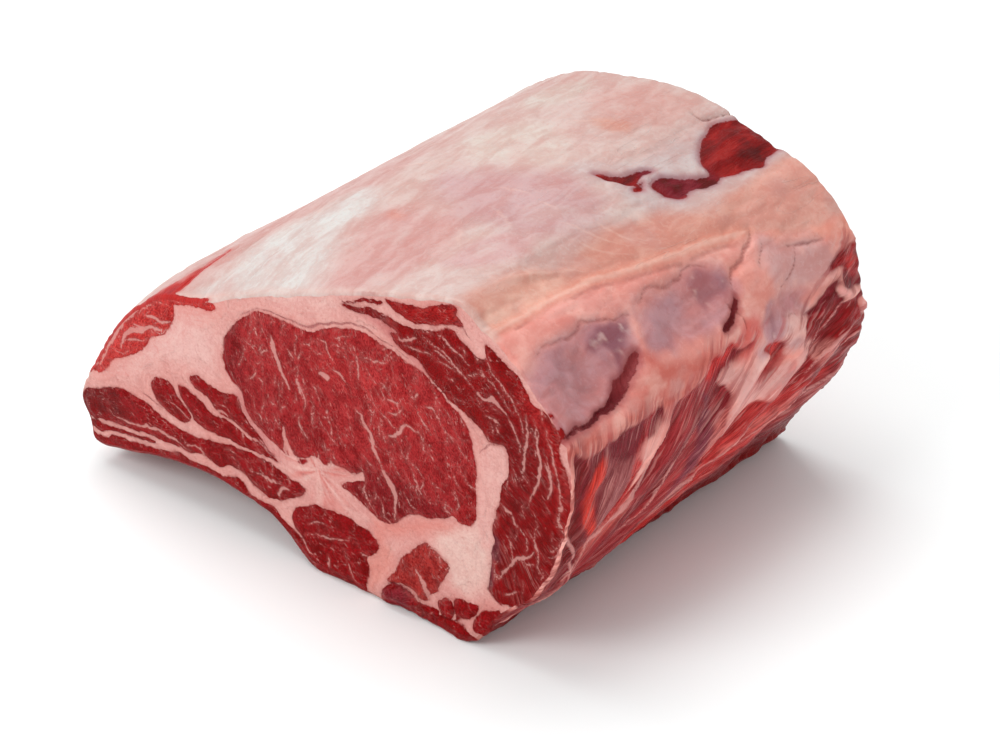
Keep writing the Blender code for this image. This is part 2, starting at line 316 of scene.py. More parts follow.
# Stains of the cut's fat and of its lean, outlines in x and z: colour,
# softness, share, outline.
CUT_TONES = (
    (tone(231, 181, 174), 8, 0.9, (-76, 80, -60, 88, -48, 84, -50, 72, -64, 66, -80, 62, -92, 52,
        -100, 50, -90, 62)),
    (tone(232, 182, 174), 6, 0.8, (-20, 112, 0, 114, 16, 120, 6, 122, -16, 116)),
    (tone(233, 189, 179), 5, 1.0, (66, 28, 60, 38, 64, 46, 74, 50, 82, 54, 86, 44, 85, 32, 80, 24,
        72, 22)),
    (tone(230, 172, 164), 2, 1.0, (81, 84.5, 87, 90, 92.5, 91.5, 95, 86.5, 94, 78.5, 91, 71,
        89.5, 63, 88, 56, 87, 47, 82, 43, 81, 53, 80.5, 63.5, 82.5, 72.5, 81.5, 78.5)),
    (tone(208, 126, 122), 3, 0.8, (26, 121, 36, 117, 46, 112, 55, 107, 58, 108, 53, 113, 46, 117,
        38, 123)),
    (tone(226, 142, 131), 4, 0.8, (30, 34, 44, 41, 58, 47, 72, 50, 62, 42, 50, 36, 38, 30, 32, 22)),
    (tone(209, 134, 130), 3, 0.7, (-36, 66, -30, 58, -22, 50, -14, 44, -20, 42, -30, 46, -40, 60)),
    (tone(226, 146, 134), 3, 0.8, (29, 18, 36, 26, 40, 20, 35, 10, 30, 4, 27, 8)),
    (tone(206, 112, 108), 2, 0.8, (123, 92, 126, 84, 125, 70, 120, 54, 112, 42, 104, 32, 103, 34,
        110, 46, 117, 58, 121, 72, 120, 84)),
    (tone(214, 140, 132), 3, 0.7, (80, 20, 90, 22, 98, 24, 92, 14, 82, 6, 78, 10)),
)
LEAN_TONES = (
    (tone(182, 46, 48), 9, 0.75, (-2, 98, 20, 106, 42, 104, 56, 98, 62, 88, 50, 80, 30, 84, 8, 86)),
    (tone(132, 20, 26), 4, 0.75, (-46, 90, -38, 98, -35, 86, -34, 74, -28, 64, -22, 54, -40, 66,
        -46, 80)),
    (tone(160, 34, 38), 6, 0.6, (-34, 72, -10, 78, 6, 68, 2, 56, -14, 58, -28, 54)),
    (tone(134, 26, 31), 5, 0.8, (22, 56, 40, 58, 56, 57, 66, 55, 64, 50, 50, 43, 36, 35, 26, 39,
        18, 45)),
    (tone(160, 32, 34), 3, 0.8, (70, 49, 80, 54, 80, 70, 76, 78, 72, 64)),
    (tone(130, 19, 23), 6, 0.8, (86, 112, 98, 106, 106, 98, 108, 84, 104, 66, 98, 54, 93, 66,
        96, 88, 88, 102)),
    (tone(166, 36, 37), 3, 0.8, (104, 120, 113, 112, 119, 106, 119, 98, 123, 90, 124, 80, 121, 68,
        118, 72, 117, 84, 113, 96, 108, 106, 98, 116)),
    (tone(116, 54, 64), 2, 0.75, (91, 53, 89.5, 47.5, 91, 42.5, 88, 39.5, 89, 35, 84, 28, 83, 34,
        86, 44, 88, 52)),
    (tone(176, 34, 34), 4, 0.7, (40, 134, 58, 138, 74, 142, 74, 132, 60, 128, 44, 128)),
    (tone(132, 42, 52), 2, 0.7, (37, 8.5, 41, 10.5, 46.5, 10.5, 50, 8, 49, 3, 44, 1, 38, 3)),
    (tone(112, 10, 16), 7, 0.8, (-128, 32, -118, 38, -104, 40, -100, 30, -126, 22)),
)

# Lines on the outer skin, in x and y: the ligament, the fold beside it, and low
# folds of the cap.
LIGAMENT = (
    86, -96, 85.5, -76, 85, -58, 86, -40, 88, -27, 90.5, -12, 92, 2, 94, 20, 96, 38, 98.5, 52,
    102, 64, 105, 78)
SIDE_FOLD = (87, -27, 82, -36, 78, -43, 75, -53, 73, -62, 70, -72)
FOLDS = (
    (84, -6, 74, -15, 64, -20, 56, -24), (86, -12, 76, -22, 68, -27), (90, 2, 78, -6, 68, -10,
    60, -8), (40, -13, 30, -12, 20, -15), (56, -16, 48, -15, 40, -16), (52, -42, 44, -34, 34, -28,
    24, -26), (46, -62, 36, -52, 28, -44), (20, 54, 16, 48, 8, 46), (-14, 2, -24, -4, -40, -6),
    (-42, -28, -46, -34, -44, -44, -52, -50), (-30, 70, -44, 62, -50, 48),
)

# The window and the slit in the cap, in x and y, and the crease beside them.
WINDOW = (
    52, 84, 53, 78, 56, 71, 60, 64, 65, 58.5, 70.5, 56, 70, 51, 68.5, 47, 65, 41, 62, 36, 62, 31,
    66, 28, 71, 31, 73.5, 35, 72.5, 41, 74, 48, 74.5, 55, 73.5, 60, 76, 68, 76.5, 75, 78.5, 79,
    76, 84, 76, 90, 74, 98, 58, 98, 55, 91)
SLIT = (45, 16, 49, 20.5, 53, 24, 54.5, 33, 57, 36, 57, 29, 59, 24, 56, 19.5)
SLIT_BIT = (60, 27, 62.5, 24, 61.5, 20, 60, 22)
CREASE = (43, 81, 47, 81.5, 49, 84, 50, 89, 52, 94)

# The chine side, in y and z: pockets that the bones left, the painted shadows in
# them, deep slots, and creases grouped by their width. The slots' dark red is
# partly painted shade, and the creases are painted shade.
POCKETS = (
    (-97, 122, -84, 126.5, -73, 127, -62, 125, -50, 125, -43, 123.5, -36, 122, -36, 117, -41, 113.5,
        -50, 111, -60, 108.5, -70, 106, -84, 106.5, -97, 106.5),
    (-31, 121, -20, 123, -8, 122, 5, 121.7, 14, 121, 20, 117, 24, 112, 19, 109, 8, 105.5, -6, 106,
        -20, 107.5, -32, 109, -36, 114),
    (27, 96, 36, 100, 46, 99.5, 54, 98, 60, 95, 52, 91, 44, 91, 38, 86, 30, 86, 27, 90),
)
POCKET_SHADOWS = (
    (-62, 121, -50, 124.5, -40, 124.5, -33, 122, -37, 118, -46, 114, -50, 110, -55, 109.5,
        -54, 116),
    (1, 119, 9, 121, 18, 119.5, 22, 114, 16, 110, 8, 110.5, 2, 108),
    (30, 97, 35, 99, 37, 93, 35, 88, 31, 89),
)
SLOTS = (
    (-96, 106.6, -84, 106.4, -74, 106.6, -66, 106.8, -60, 109, -52, 111.5, -44, 114.6, -40, 114,
        -45, 110.6, -54, 106.6, -62, 104.6, -69, 104.2, -80, 104.9, -96, 105.2),
    (4.5, 102.5, 7, 104.8, 12, 106, 17, 109, 19.5, 110, 18.5, 107, 14, 104.5, 8, 102),
)
SIDE_CREASES = (
    (0.5, ((39, 111, 42, 114, 47, 116.5), (45, 91.2, 51, 90.4))),
    (0.6, ((-27, 122.3, -20, 123.7, -13, 123.2, -6, 121.6, 0, 121.2, 6, 122.2, 14, 121.3), (33, 92,
        33.5, 88, 35, 84))),
    (0.7, ((-84, 127, -79, 128.3, -72, 127.5, -65, 125.6, -57, 126, -50, 125, -43, 123.7, -37, 123,
        -34.5, 121.5), (13, 110, 16, 105, 18, 100, 16, 96))),
    (0.8, ((62, 112, 58, 107, 52, 104, 47, 103),)),
    (0.9, ((58, 113.3, 62, 112.4, 70, 111, 77, 109.3),)),
    (1.3, ((20, 112, 24, 116, 31, 116.9, 37, 118.6, 42, 119.4, 46, 121),)),
)

# Uneven shifts of the outlines on the top and on the chine side: size, reach, seed.
CAP_RAGS = ((7.0, 0.9, 301), (2.6, 0.4, 303))
CHINE_RAGS = ((8.0, 1.3, 305), (3.0, 0.5, 307))

# Relief of the marks: name, rise, whether it is uneven, low and high of its ramp.
MARK_RELIEF = (
    ("window", -1.3, False, -2.4, 1.6),
    ("window", 2.2, False, 0.5, 9.0),
    ("slit", -1.6, False, -2.0, 1.6),
    ("crease", -1.2, False, -1.2, 0.4),
    ("crest", 0.5, True, 0.0, 2.2),
    ("under crest", -0.25, True, -0.4, 1.5),
    ("side fold", 0.7, True, -1.6, 0.8),
    ("folds", 0.25, True, -1.6, 1.0),
    ("pockets", -0.6, False, -2.5, 2.5),
    ("slots", -2.0, False, -1.4, 1.4),
    ("side creases", -0.7, True, -1.4, 0.6),
)
# Noise that is drawn out along the roast.
LENGTHWISE = (1.0, 0.3, 1.0)

# Light that reaches the top, the chine side and the cuts: the colours below
# are as they show in the photograph's light, and this divides out of them.
TOP_LIGHT = 1.30
SIDE_LIGHT = 0.98
LOW_LIGHT = 0.77
CUT_LIGHT = 1.09

# Meat of the chine side: colour, outline in y and z.
SIDE_DARK = tone(122, 36, 42)
SIDE_RED = tone(150, 44, 48)
SIDE_BRIGHT = tone(190, 52, 50)
SIDE_MEAT = (
    (SIDE_DARK, (-97, 97, -88, 96.5, -74, 95.5, -60, 95.3, -46, 94, -41, 93, -41, 90, -46, 87.5,
        -54, 86, -58, 80, -56, 72, -58, 66, -66, 58, -74, 50, -82, 40, -92, 14, -97, 14)),
    (SIDE_RED, (-38, 86, -33, 91.5, -22, 92, -10, 93.5, -6, 97, 6, 97, 9, 94, 19, 92.5, 18, 91,
        8, 91, -2, 89.5, -4, 87, 3, 79, 0, 72, -1, 63, 4, 58, 0, 50, -10, 40, -40, 18, -70, -4,
        -90, 0, -80, 44, -70, 54, -60, 64, -50, 72)),
    (SIDE_BRIGHT, (0, 58, 10, 62, 22, 65, 34, 61, 44, 60, 52, 63, 60, 62, 68, 55, 76, 52, 84, 58,
        97, 66, 97, 0, 40, -4, -68, -4, -39, 18, -11, 38, -3, 47)),
    (SIDE_DARK, (54, 88.5, 60, 90, 66, 91, 75, 94, 82, 89, 80, 80, 76, 74, 70, 70, 64, 74, 61, 79,
        65, 83, 58, 86)),
    (SIDE_RED, (50, 77, 54, 84, 60, 88, 71, 86, 88, 82, 97, 84, 97, 50, 60, 54, 44, 59, 40, 63,
        50, 66, 55, 69, 56, 73)),
    (SIDE_DARK, (74, 98, 80, 101, 88, 103.5, 97, 103, 97, 92, 90, 91, 84, 93, 78, 96)),
    (SIDE_BRIGHT, (81, 94, 90, 95, 97, 94, 97, 82, 90, 84, 82, 87)),
    (SIDE_BRIGHT, (24, 86, 30, 88, 40, 84, 41, 79, 34, 76, 26, 74, 23, 76, 30, 80, 29, 83)),
)
# Stains of that meat, outlines in y and z: colour, softness, share, outline. A few
# are partly painted shade or painted highlight, as marked.
MEAT_TONES = (
    # Darker and greyer along the foot, partly painted shade where the side turns under.
    (tone(124, 54, 57), 4, 0.8, (-40, 0, -20, 14, 10, 24, 30, 34, 53, 41, 72, 46, 97, 50, 97, -5,
        -40, -5)),
    (tone(198, 104, 98), 2, 0.8, (-26, 34, -14, 51, -9, 62, -4, 71, 1, 74, 9.5, 74, 21, 71, 26, 65,
        14, 62, 4, 59, -4, 53, -14, 42, -24, 30)),
    (tone(182, 40, 38), 1.5, 0.95, (-26, 27, -10, 37, 2, 43, 16, 48, 24, 49, 18, 41, 6, 34, -6, 27,
        -20, 20)),
    (tone(170, 44, 43), 2, 0.9, (0.5, 60, 9, 64.5, 25, 66, 44, 65, 58, 63, 66, 57, 50, 53, 30, 52,
        9, 54)),
    (tone(196, 104, 98), 2, 0.65, (6, 50, 30, 50, 52, 52, 70, 54, 60, 49, 36, 44, 14, 43)),
    (tone(118, 50, 62), 1.5, 0.85, (-11, 86, -9, 80, -5.5, 73, -8, 65, -13, 58, -19, 49, -28, 38,
        -30, 42, -22, 54, -17, 63, -16, 74, -14, 80, -15, 86)),
    (tone(180, 66, 66), 1.5, 0.7, (-28, 52, -18, 63, -14, 72, -17, 74, -24, 64, -33, 52)),
    (tone(198, 94, 88), 1.5, 0.8, (-80, 50.5, -74, 57, -61, 62, -55, 65, -56, 58, -64, 52, -72, 48,
        -78, 43)),
    (tone(166, 92, 92), 2.4, 0.75, (-73, 88, -63, 85, -57, 80, -61, 73, -66, 65, -72, 57, -79, 51,
        -81, 60, -80, 72, -77, 82.5)),
    (tone(122, 34, 43), 1.5, 0.9, (-76, 95, -61, 95, -41, 95, -40, 89, -46, 86.5, -57, 84,
        -65, 85.5, -73, 89.5)),
    (tone(192, 42, 40), 1.5, 0.95, (-61, 79.5, -52, 76, -51, 69, -59, 62, -66, 57, -69, 57,
        -66, 65.5, -61, 71.5)),
    (tone(210, 138, 130), 2, 0.85, (-58, 82, -48, 85.5, -42, 89, -36, 88, -37, 85, -41, 81, -45, 76,
        -50, 70, -50, 76.5)),
    # A bright lip beside the recess: the meat's red, partly painted highlight.
    (tone(212, 54, 42), 1.4, 0.9, (-84.5, 88, -79, 89.5, -77, 88, -79, 83, -82, 80, -83, 72,
        -80, 63, -81, 57, -86, 66, -88, 74, -87, 82)),
    # The recess behind the near cut: deep red, partly painted shade.
    (tone(112, 20, 26), 2, 1.0, (-95, 96.5, -87, 96, -88.5, 88, -90, 78, -90, 70.5, -87, 60,
        -85, 48, -92, 42, -98, 56, -98, 92)),
    (tone(190, 44, 42), 2, 0.85, (-10, 96.5, 6, 98, 10, 94, 0, 92, -12, 91)),
    (tone(134, 22, 26), 2, 0.95, (53, 86, 71, 86, 88, 80, 97, 79, 97, 52, 84, 50, 66, 54, 48, 58,
        40, 63, 54, 66, 47, 79)),
    (tone(104, 22, 28), 1.5, 0.95, (77, 100, 84, 103, 97, 105, 97, 84, 88, 82, 80, 84, 72, 88,
        75, 94)),
    (tone(204, 124, 116), 1.5, 0.75, (61, 72, 75, 69, 80, 60, 66, 60)),
    (tone(208, 140, 134), 1.5, 0.75, (40, 79, 50, 80, 58, 76, 50, 72, 42, 74)),
    (tone(172, 38, 36), 1.5, 0.9, (84, 98, 92, 99, 97, 94, 97, 88, 88, 90)),
)
# Pale fat and membrane within that meat.
SIDE_PALE = (
    (90, 77, 94, 77.5, 97, 78, 97, 75, 93, 74),
    (76, 89, 79, 90, 82, 88, 84, 85.5, 82, 85, 79, 86),
)
# Pale strands over it, in y and z, grouped by their width.
FASCIA = (
    (1.2, ((44, 62, 54, 68, 60, 76, 66, 84),)),
    (1.3, ((58, 72, 66, 78, 76, 82, 84, 84),)),
    (1.4, ((80, 60, 88, 64, 97, 66),)),
    (1.5, ((-58.5, 39, -41, 44, -33, 53, -28, 62, -21, 72, -17, 80), (20, 38, 40, 45, 60, 50,
        76, 54), (30, 30, 50, 37, 70, 43, 92, 50))),
    (1.6, ((-50, 8, -40, 20, -23, 32, -15, 38, -2, 45, 14, 50, 30, 51),)),
    (1.8, ((-97, 66, -90, 58, -84, 46, -80, 38), (56, 60, 66, 66, 76, 70, 90, 73))),
    (2.2, ((-84, 22, -80, 36, -77, 49, -70, 54, -60, 58, -54, 64, -50, 69, -47, 75, -43, 81,
        -38, 86),)),
)
# Pale tissue between the far muscles, smeared with blood.
SMEARED_FAT = (-2, 90, 14, 95, 34, 96, 50, 92, 62, 86, 60, 66, 44, 60, 22, 60, 4, 58, -2, 70)
# The recess behind the near cut, in y and z, that the relief sinks; a tone of that meat darkens it
# with painted shade.
DARK_RECESS = (-94, 94, -88, 94, -86, 84, -88, 70, -88, 58, -92, 50, -95, 60)
# A thin streak of bare meat where the cap thins out over the tail.
LEFT_STREAK = (-84, -98, -73, -97, -70.5, -84, -70, -66, -71.5, -62, -73.5, -72, -76, -84)

# Colours of the skin where it is neither meat nor torn.
CAP_FAT = tone(226, 194, 187)
CAP_PALE = tone(230, 208, 201)
CAP_BLUSH = tone(222, 172, 165)
# Painted highlight on the folds' ridges and the ligament's crest.
FOLD_HIGHLIGHT = tone(240, 204, 190)
CHINE_PALE = tone(238, 184, 172)
CHINE_GREY = tone(203, 150, 144)
RIM_FAT = tone(232, 200, 192)
PEACH_FAT = tone(231, 158, 138)
CHINE_FAT = tone(226, 156, 146)
FASCIA_PALE = tone(216, 150, 144)
# The slots' dark red, partly painted shade of the crevices.
SLOT_RED_AND_SHADE = tone(96, 22, 30)
SLOT_EDGE = tone(160, 84, 86)
WINDOW_RED = tone(154, 32, 34)
WINDOW_PURPLE = tone(150, 58, 68)
WINDOW_DARK = tone(104, 16, 24)
STREAK_PALE = tone(226, 146, 140)
STREAK_DARK = tone(158, 54, 62)
WINDOW_BRIGHT = tone(204, 62, 58)
WINDOW_RIM = tone(186, 136, 146)
SLOT_LIGHT = tone(158, 66, 68)
# Painted shade in the creases and under the ligament's crest.
CREASE_SHADE_BROWN = tone(132, 66, 62)
UNDER_FAT = tone(206, 152, 142)
CUT_FAT = tone(226, 163, 155)
CUT_FAT_PINK = tone(219, 144, 135)
CUT_FAT_RAW = tone(214, 118, 110)
CUT_FAT_PALE = tone(240, 190, 180)
FAT_KNOT = (3.0, 45.5)

# Stains of the top, outlines in x and y: colour, softness, share, outline. The
# whitest of them are partly painted glare of the shining fat.
TOP_TONES = (
    (tone(222, 174, 168), 7, 0.9, (-84, -96, -62, -92, -61, -62, -56, -46, -46, -33, -33, -24,
        -28, -3, -40, 30, -60, 20, -90, -40)),
    (tone(229, 219, 215), 9, 1.0, (-60, -98, -56, -77, -56, -58, -49, -48, -42, -38, -40, -26,
        -27, -26, -18, -36, -12, -53, -4, -71, 0, -86, 2, -98)),
    (tone(223, 168, 164), 9, 0.75, (-4, -71, -12, -53, -10, -40, 10, -33, 31, -44, 38, -64, 37, -86,
        29, -97, 6, -97)),
    (tone(230, 158, 144), 3, 0.7, (-9, -43, -6, -38, 3, -41, 3, -47, -4, -47)),
    (tone(213, 165, 167), 10, 0.75, (-10, -11, 4, -4, 36, 7, 53, 6, 65, -4, 68, -18, 62, -37,
        41, -40, 18, -33, 2, -26)),
    (tone(229, 209, 200), 7, 1.0, (-22, 19, -7, 39, 10, 38, 28, 26, 28, 12, 10, 7, -9, 8)),
    (tone(229, 215, 206), 5, 0.8, (-24, 66, -17, 86, -4, 80, -5, 62, -14, 54)),
    (tone(223, 174, 166), 7, 0.9, (1, 72, 20, 92, 39, 86, 38, 57, 22, 51, 8, 59)),
    (tone(225, 166, 150), 3, 0.8, (14, 53, 32, 57, 36, 49, 22, 46)),
    (tone(219, 198, 196), 5, 0.9, (35, 17, 48, 34, 50, 63, 47, 80, 54, 98, 80, 98, 80, 60, 77, 29,
        70, 14, 60, 13, 48, 12)),
    (tone(228, 164, 148), 5, 1.0, (70, -6, 76, 20, 82, 34, 82, 60, 84, 98, 112, 98, 106, 40, 97, 0,
        91, -34, 90, -98, 72, -98, 70, -74, 75, -43)),
    (tone(240, 178, 164), 6, 0.9, (88, 50, 84, 98, 112, 98, 108, 56, 98, 44)),
    (tone(248, 194, 176), 4, 1.0, (77, -90, 84, -88, 85, -66, 84, -50, 79, -48, 74, -60, 75, -78)),
    (tone(224, 176, 176), 4, 0.7, (44, -70, 58, -66, 66, -50, 58, -40, 46, -48)),
    (tone(231, 206, 200), 5, 0.7, (42, -94, 62, -90, 60, -76, 46, -76)),
)

# Stains of the chine side, outlines in y and z.
SIDE_TONES = (
    (tone(240, 172, 160), 3, 0.8, (-97, 126, -84, 132, -60, 130, -40, 127, -62, 126, -84, 128)),
    (tone(206, 152, 146), 4, 0.7, (-97, 124, -80, 130, -50, 130, -20, 127, 16, 123, 20, 117,
        -30, 122, -60, 127)),
    (tone(212, 128, 118), 2, 0.5, (-97, 131, -70, 131, -40, 129, -10, 126, 16, 122, -10, 124,
        -40, 126.5, -70, 129, -97, 128)),
    (tone(240, 178, 166), 3, 0.6, (-40, 128, -20, 126, 0, 124, 18, 121, 0, 122, -20, 124.5)),
    (tone(210, 160, 157), 4, 1.0, (46, 119, 43, 112, 42, 103, 52, 98, 65, 95, 77, 96, 81, 104,
        72, 112, 58, 118)),
    (tone(228, 152, 134), 3, 0.8, (50, 122, 66, 120, 84, 114, 97, 112, 97, 104, 84, 107, 68, 112,
        56, 114)),
    (tone(248, 184, 168), 3, 1.0, (30, 138, 60, 140, 97, 138, 97, 120, 84, 121, 64, 124, 48, 126,
        34, 130)),
    (tone(209, 118, 107), 3, 1.0, (-97, 105, -84, 104, -70, 103, -58, 105, -46, 110, -38, 112,
        -32, 106, -20, 102, -4, 99, 4, 97, -8, 93, -30, 91, -44, 92, -60, 94, -97, 95)),
    (tone(228, 150, 140), 2, 0.9, (-76, 104, -64, 105, -56, 108, -44, 112, -40, 108, -50, 102,
        -64, 97, -76, 98)),
    (tone(214, 100, 92), 3, 0.9, (5, 95, 12, 99, 20, 102, 26, 98, 22, 91, 14, 88, 8, 91)),
    (tone(222, 148, 136), 3, 0.8, (20, 118, 27, 117, 36, 112, 40, 104, 30, 102, 24, 108)),
    (tone(192, 148, 148), 3, 1.0, (30, 96, 35, 101, 46, 98, 56, 92, 60, 86, 56, 79, 44, 79,
        34, 84)),
    (tone(168, 128, 140), 2, 0.8, (31, 100, 36, 100, 37, 90, 34, 86, 31, 90)),
    (tone(208, 148, 142), 4, 1.0, (-8, 91, 3, 90, 12, 84, 24, 84, 34, 76, 44, 74, 56, 76, 56, 70,
        44, 67, 30, 66, 20, 67, 5, 65, -1, 61, 1, 72, 6, 75, -4, 87)),
    (tone(182, 138, 142), 3, 0.7, (20, 89, 27, 90, 30, 84, 24, 80, 20, 82)),
)
POCKET_TONE = tone(184, 132, 137)
# Painted shadow in the pockets.
POCKET_PAINTED_SHADOW = tone(138, 86, 96)
POCKET_GREY = tone(176, 130, 135)
POCKET_WARM = tone(208, 142, 137)
POCKET_GREYS = (
    (-88, 119, -74, 121, -62, 116, -60, 111, -72, 108, -86, 109),
    (-24, 119, -10, 120, -4, 113, -12, 108, -26, 110),
)


def ramp(low, high, value):
    """0 below low, 1 above high, smooth between."""
    share = np.clip((np.asarray(value) - low) / (high - low), 0.0, 1.0)
    return share * share * (3.0 - 2.0 * share)


def dome(distance):
    """1 in the middle, falling smoothly to 0 at a distance of 1."""
    return np.where(distance < 1.0, (1.0 - distance**2) ** 2, 0.0)


def value_noise(points, size, seed):
    """Smooth noise from -1 to 1 with features of about the given size."""
    lattice = np.random.default_rng(seed).uniform(-1.0, 1.0, (32, 32, 32))
    place = points / size
    cell = np.floor(place).astype(int)
    share = place - cell
    share = share * share * (3.0 - 2.0 * share)
    total = np.zeros(len(points))
    for corner in itertools.product((0, 1), repeat=3):
        index = (cell + corner) % 32
        weight = np.prod(np.where(corner, share, 1.0 - share), axis=1)
        total += weight * lattice[index[:, 0], index[:, 1], index[:, 2]]
    return total


def fractal_noise(points, size, seed, octaves=3):
    total = np.zeros(len(points))
    for octave in range(octaves):
        total += value_noise(points, size / 2**octave, seed + octave) / 2**octave
    return total / (2.0 - 0.5 ** (octaves - 1))


def spline(points, samples, closed):
    """A smooth curve through points that are given as first, second, first, second."""
    points = np.reshape(points, (-1, 2)).astype(float)
    count = len(points)
    spans = count if closed else count - 1
    stops = np.arange(spans * samples + (0 if closed else 1)) / samples
    span = np.minimum(stops.astype(int), spans - 1)
    around = []
    for shift in NEIGHBOURS:
        index = span + shift
        around.append(points[index % count if closed else np.clip(index, 0, count - 1)])
    return catmull_rom(around, (stops - span)[:, None])


def catmull_rom(around, u):
    before, here, after, second = around
    linear = (after - before) * u
    square = (2.0 * before - 5.0 * here + 4.0 * after - second) * u**2
    cubic = (3.0 * here - before - 3.0 * after + second) * u**3
    return 0.5 * (2.0 * here + linear + square + cubic)


def close_to(points, shape, reach):
    low = shape.min(axis=0) - reach
    high = shape.max(axis=0) + reach
    return np.all((points > low) & (points < high), axis=1)


def gap_to_segment(points, start, end):
    run = end - start
    share = np.clip(((points - start) @ run) / max(run @ run, 1e-9), 0.0, 1.0)
    gap = points - start - share[:, None] * run
    return np.sqrt((gap**2).sum(axis=1)), share


def depth_into(points, outline, samples=CURVE_SAMPLES, reach=REACH):
    """How deep each point lies inside a closed outline; negative outside."""
    curve = spline(outline, samples, closed=True) if samples > 1 else outline
    result = np.full(len(points), -reach)
    near = close_to(points, curve, reach)
    part = points[near]
    distance = np.full(len(part), reach)
    inside = np.zeros(len(part), bool)
    for start, end in zip(curve, np.roll(curve, -1, axis=0)):
        distance = np.minimum(distance, gap_to_segment(part, start, end)[0])
        spans = (start[1] > part[:, 1]) != (end[1] > part[:, 1])
        rise = end[1] - start[1]
        if rise:
            crossing = start[0] + (part[:, 1] - start[1]) * (end[0] - start[0]) / rise
            inside ^= spans & (part[:, 0] < crossing)
    result[near] = np.where(inside, distance, -distance)
    return result


def depth_into_line(points, line, width, reach=REACH):
    """How deep each point lies inside a line that tapers to both ends."""
    curve = spline(line, CURVE_SAMPLES, closed=False)
    result = np.full(len(points), -reach)
    near = close_to(points, curve, reach)
    part = points[near]
    best = np.full(len(part), -reach)
    for number, (start, end) in enumerate(zip(curve, curve[1:])):
        gap, share = gap_to_segment(part, start, end)
        along = (number + share) / (len(curve) - 1)
        half = 0.5 * width * (0.35 + 0.65 * np.sin(np.pi * np.clip(along, 0.02, 0.98)))
        best = np.maximum(best, half - gap)
    result[near] = best
    return result


def deepest(depths):
    """The greatest of some depths at each point."""
    return functools.reduce(np.maximum, depths)


def depth_into_any(points, outlines, reach=REACH):
    return deepest(depth_into(points, outline, reach=reach) for outline in outlines)


def depth_into_lines(points, groups, reach=REACH):
    """Depth into lines that are grouped by their width."""
    return deepest(depth_into_line(points, line, width, reach)
                   for width, lines in groups for line in lines)


# ---- The loft ----


def section_landmarks(along, size):
    """Landmarks of the sections at shares of the length, 0 near to 1 far."""
    near = np.array([row[1] for row in LANDMARKS], float)
    far = np.array([row[2] for row in LANDMARKS], float)
    share = np.sin(0.5 * np.pi * along)[:, None, None]
    scale = 0.5 * size["width"] / HALF_WIDTH_IN_TABLE
    points = (near * (1.0 - share) + far * share) * scale
    rise = 1.0 - np.exp(-along * size["length"] / SWELL_START)
    swell = CAP_SWELL * rise * np.cos(0.5 * np.pi * along) ** 2
    for name, x_share, z_share in SWOLLEN:
        index = LANDMARK_NAMES.index(name)
        points[:, index, 0] += x_share * swell
        points[:, index, 1] += z_share * swell
    return points


def section_curves(along, stops, size):
    """Points of the sections at stops around them, one stop a landmark apart."""
    landmarks = section_landmarks(along, size)
    span = np.floor(stops).astype(int)
    around = [landmarks[:, (span + shift) % len(LANDMARKS)] for shift in NEIGHBOURS]
    curves = catmull_rom(around, (stops - span)[None, :, None])
    curves[:, :, 1] = np.maximum(curves[:, :, 1], 0.0)
    return curves


def outward(curves):
    """Unit normals of clockwise curves in their own plane."""
    tangent = np.roll(curves, -1, axis=1) - np.roll(curves, 1, axis=1)
    normal = np.stack([-tangent[:, :, 1], tangent[:, :, 0]], axis=2)
    return normal / np.linalg.norm(normal, axis=2)[:, :, None]


def spaced_stops(size):
    """Stops around the section, fine over the top and chine, coarser below."""
    count = len(LANDMARKS)
    fine = np.arange(0, count, 0.02)
    curve = section_curves(np.array([0.4]), fine, size)[0]
    length = np.linalg.norm(np.roll(curve, -1, axis=0) - curve, axis=1)
    step = np.where(fine < HEEL, SKIN_STEP, UNDERSIDE_STEP)
    passed = np.concatenate([[0.0], np.cumsum(length / step)])
    number = int(round(passed[-1]))
    wanted = np.arange(number) * passed[-1] / number
    return np.interp(wanted, passed, np.append(fine, count))


def stations(size):
    """Rows of the outer skin: y, and how far the rim's rounding pulls it in."""
    angles = np.radians(RIM_RINGS)
    ahead = RIM_RADIUS * (1.0 - np.cos(angles))
    inset = RIM_RADIUS * (1.0 - np.sin(angles))
    half = 0.5 * size["length"]
    count = int((size["length"] - 2 * RIM_RADIUS) / SKIN_STEP)
    middle = np.linspace(-half + RIM_RADIUS, half - RIM_RADIUS, count + 1)[1:-1]
    y = np.concatenate([-half + ahead, middle, half - ahead[::-1]])
    return y, np.concatenate([inset, np.zeros(len(middle)), inset[::-1]])


# ---- Relief of the outer skin ----


def on_side(x):
    return ramp(86.0, 93.0, x)


def on_top(z):
    return ramp(98.0, 108.0, z)


def fan(y, z):
    """Fibres of the chine muscles fan out from the heel: across and along them."""
    away_y = y - HEEL_POINT[0]
    away_z = z - HEEL_POINT[1]
    return 110.0 * np.arctan2(away_z, away_y), np.hypot(away_y, away_z)


def oval_dome(y, z, oval):
    """A dome over an oval of the chine side: centre y and z, half length, half height."""
    centre_y, centre_z, half_length, half_height = oval
    return dome(np.hypot((y - centre_y) / half_length, (z - centre_z) / half_height))


def bone_hollows(x, y, z):
    depth = deepest(oval_dome(y, z, oval) for oval in BONE_HOLLOWS)
    return -BONE_HOLLOW_DEPTH * depth * ramp(90.0, 100.0, x)


def chine_strands(x, y, z, size):
    side = ramp(14.0, 26.0, z) * (1.0 - ramp(76.0, 88.0, z)) * ramp(90.0, 102.0, x)
    side *= ramp(0.0, 15.0, 0.5 * size["length"] - np.abs(y))
    across = z - STRAND_CLIMB * y
    return STRAND_HEIGHT * side * np.sin(2.0 * np.pi * across / STRAND_SPACING)


def rib_grooves(x, y, z):
    under = 1.0 - ramp(22.0, 30.0, z)
    under *= ramp(-100.0, -85.0, x) * (1.0 - ramp(-21.0, -6.0, x))
    return -RIB_GROOVE_DEPTH * under * (0.5 - 0.5 * np.cos(2.0 * np.pi * y / RIB_SPACING))


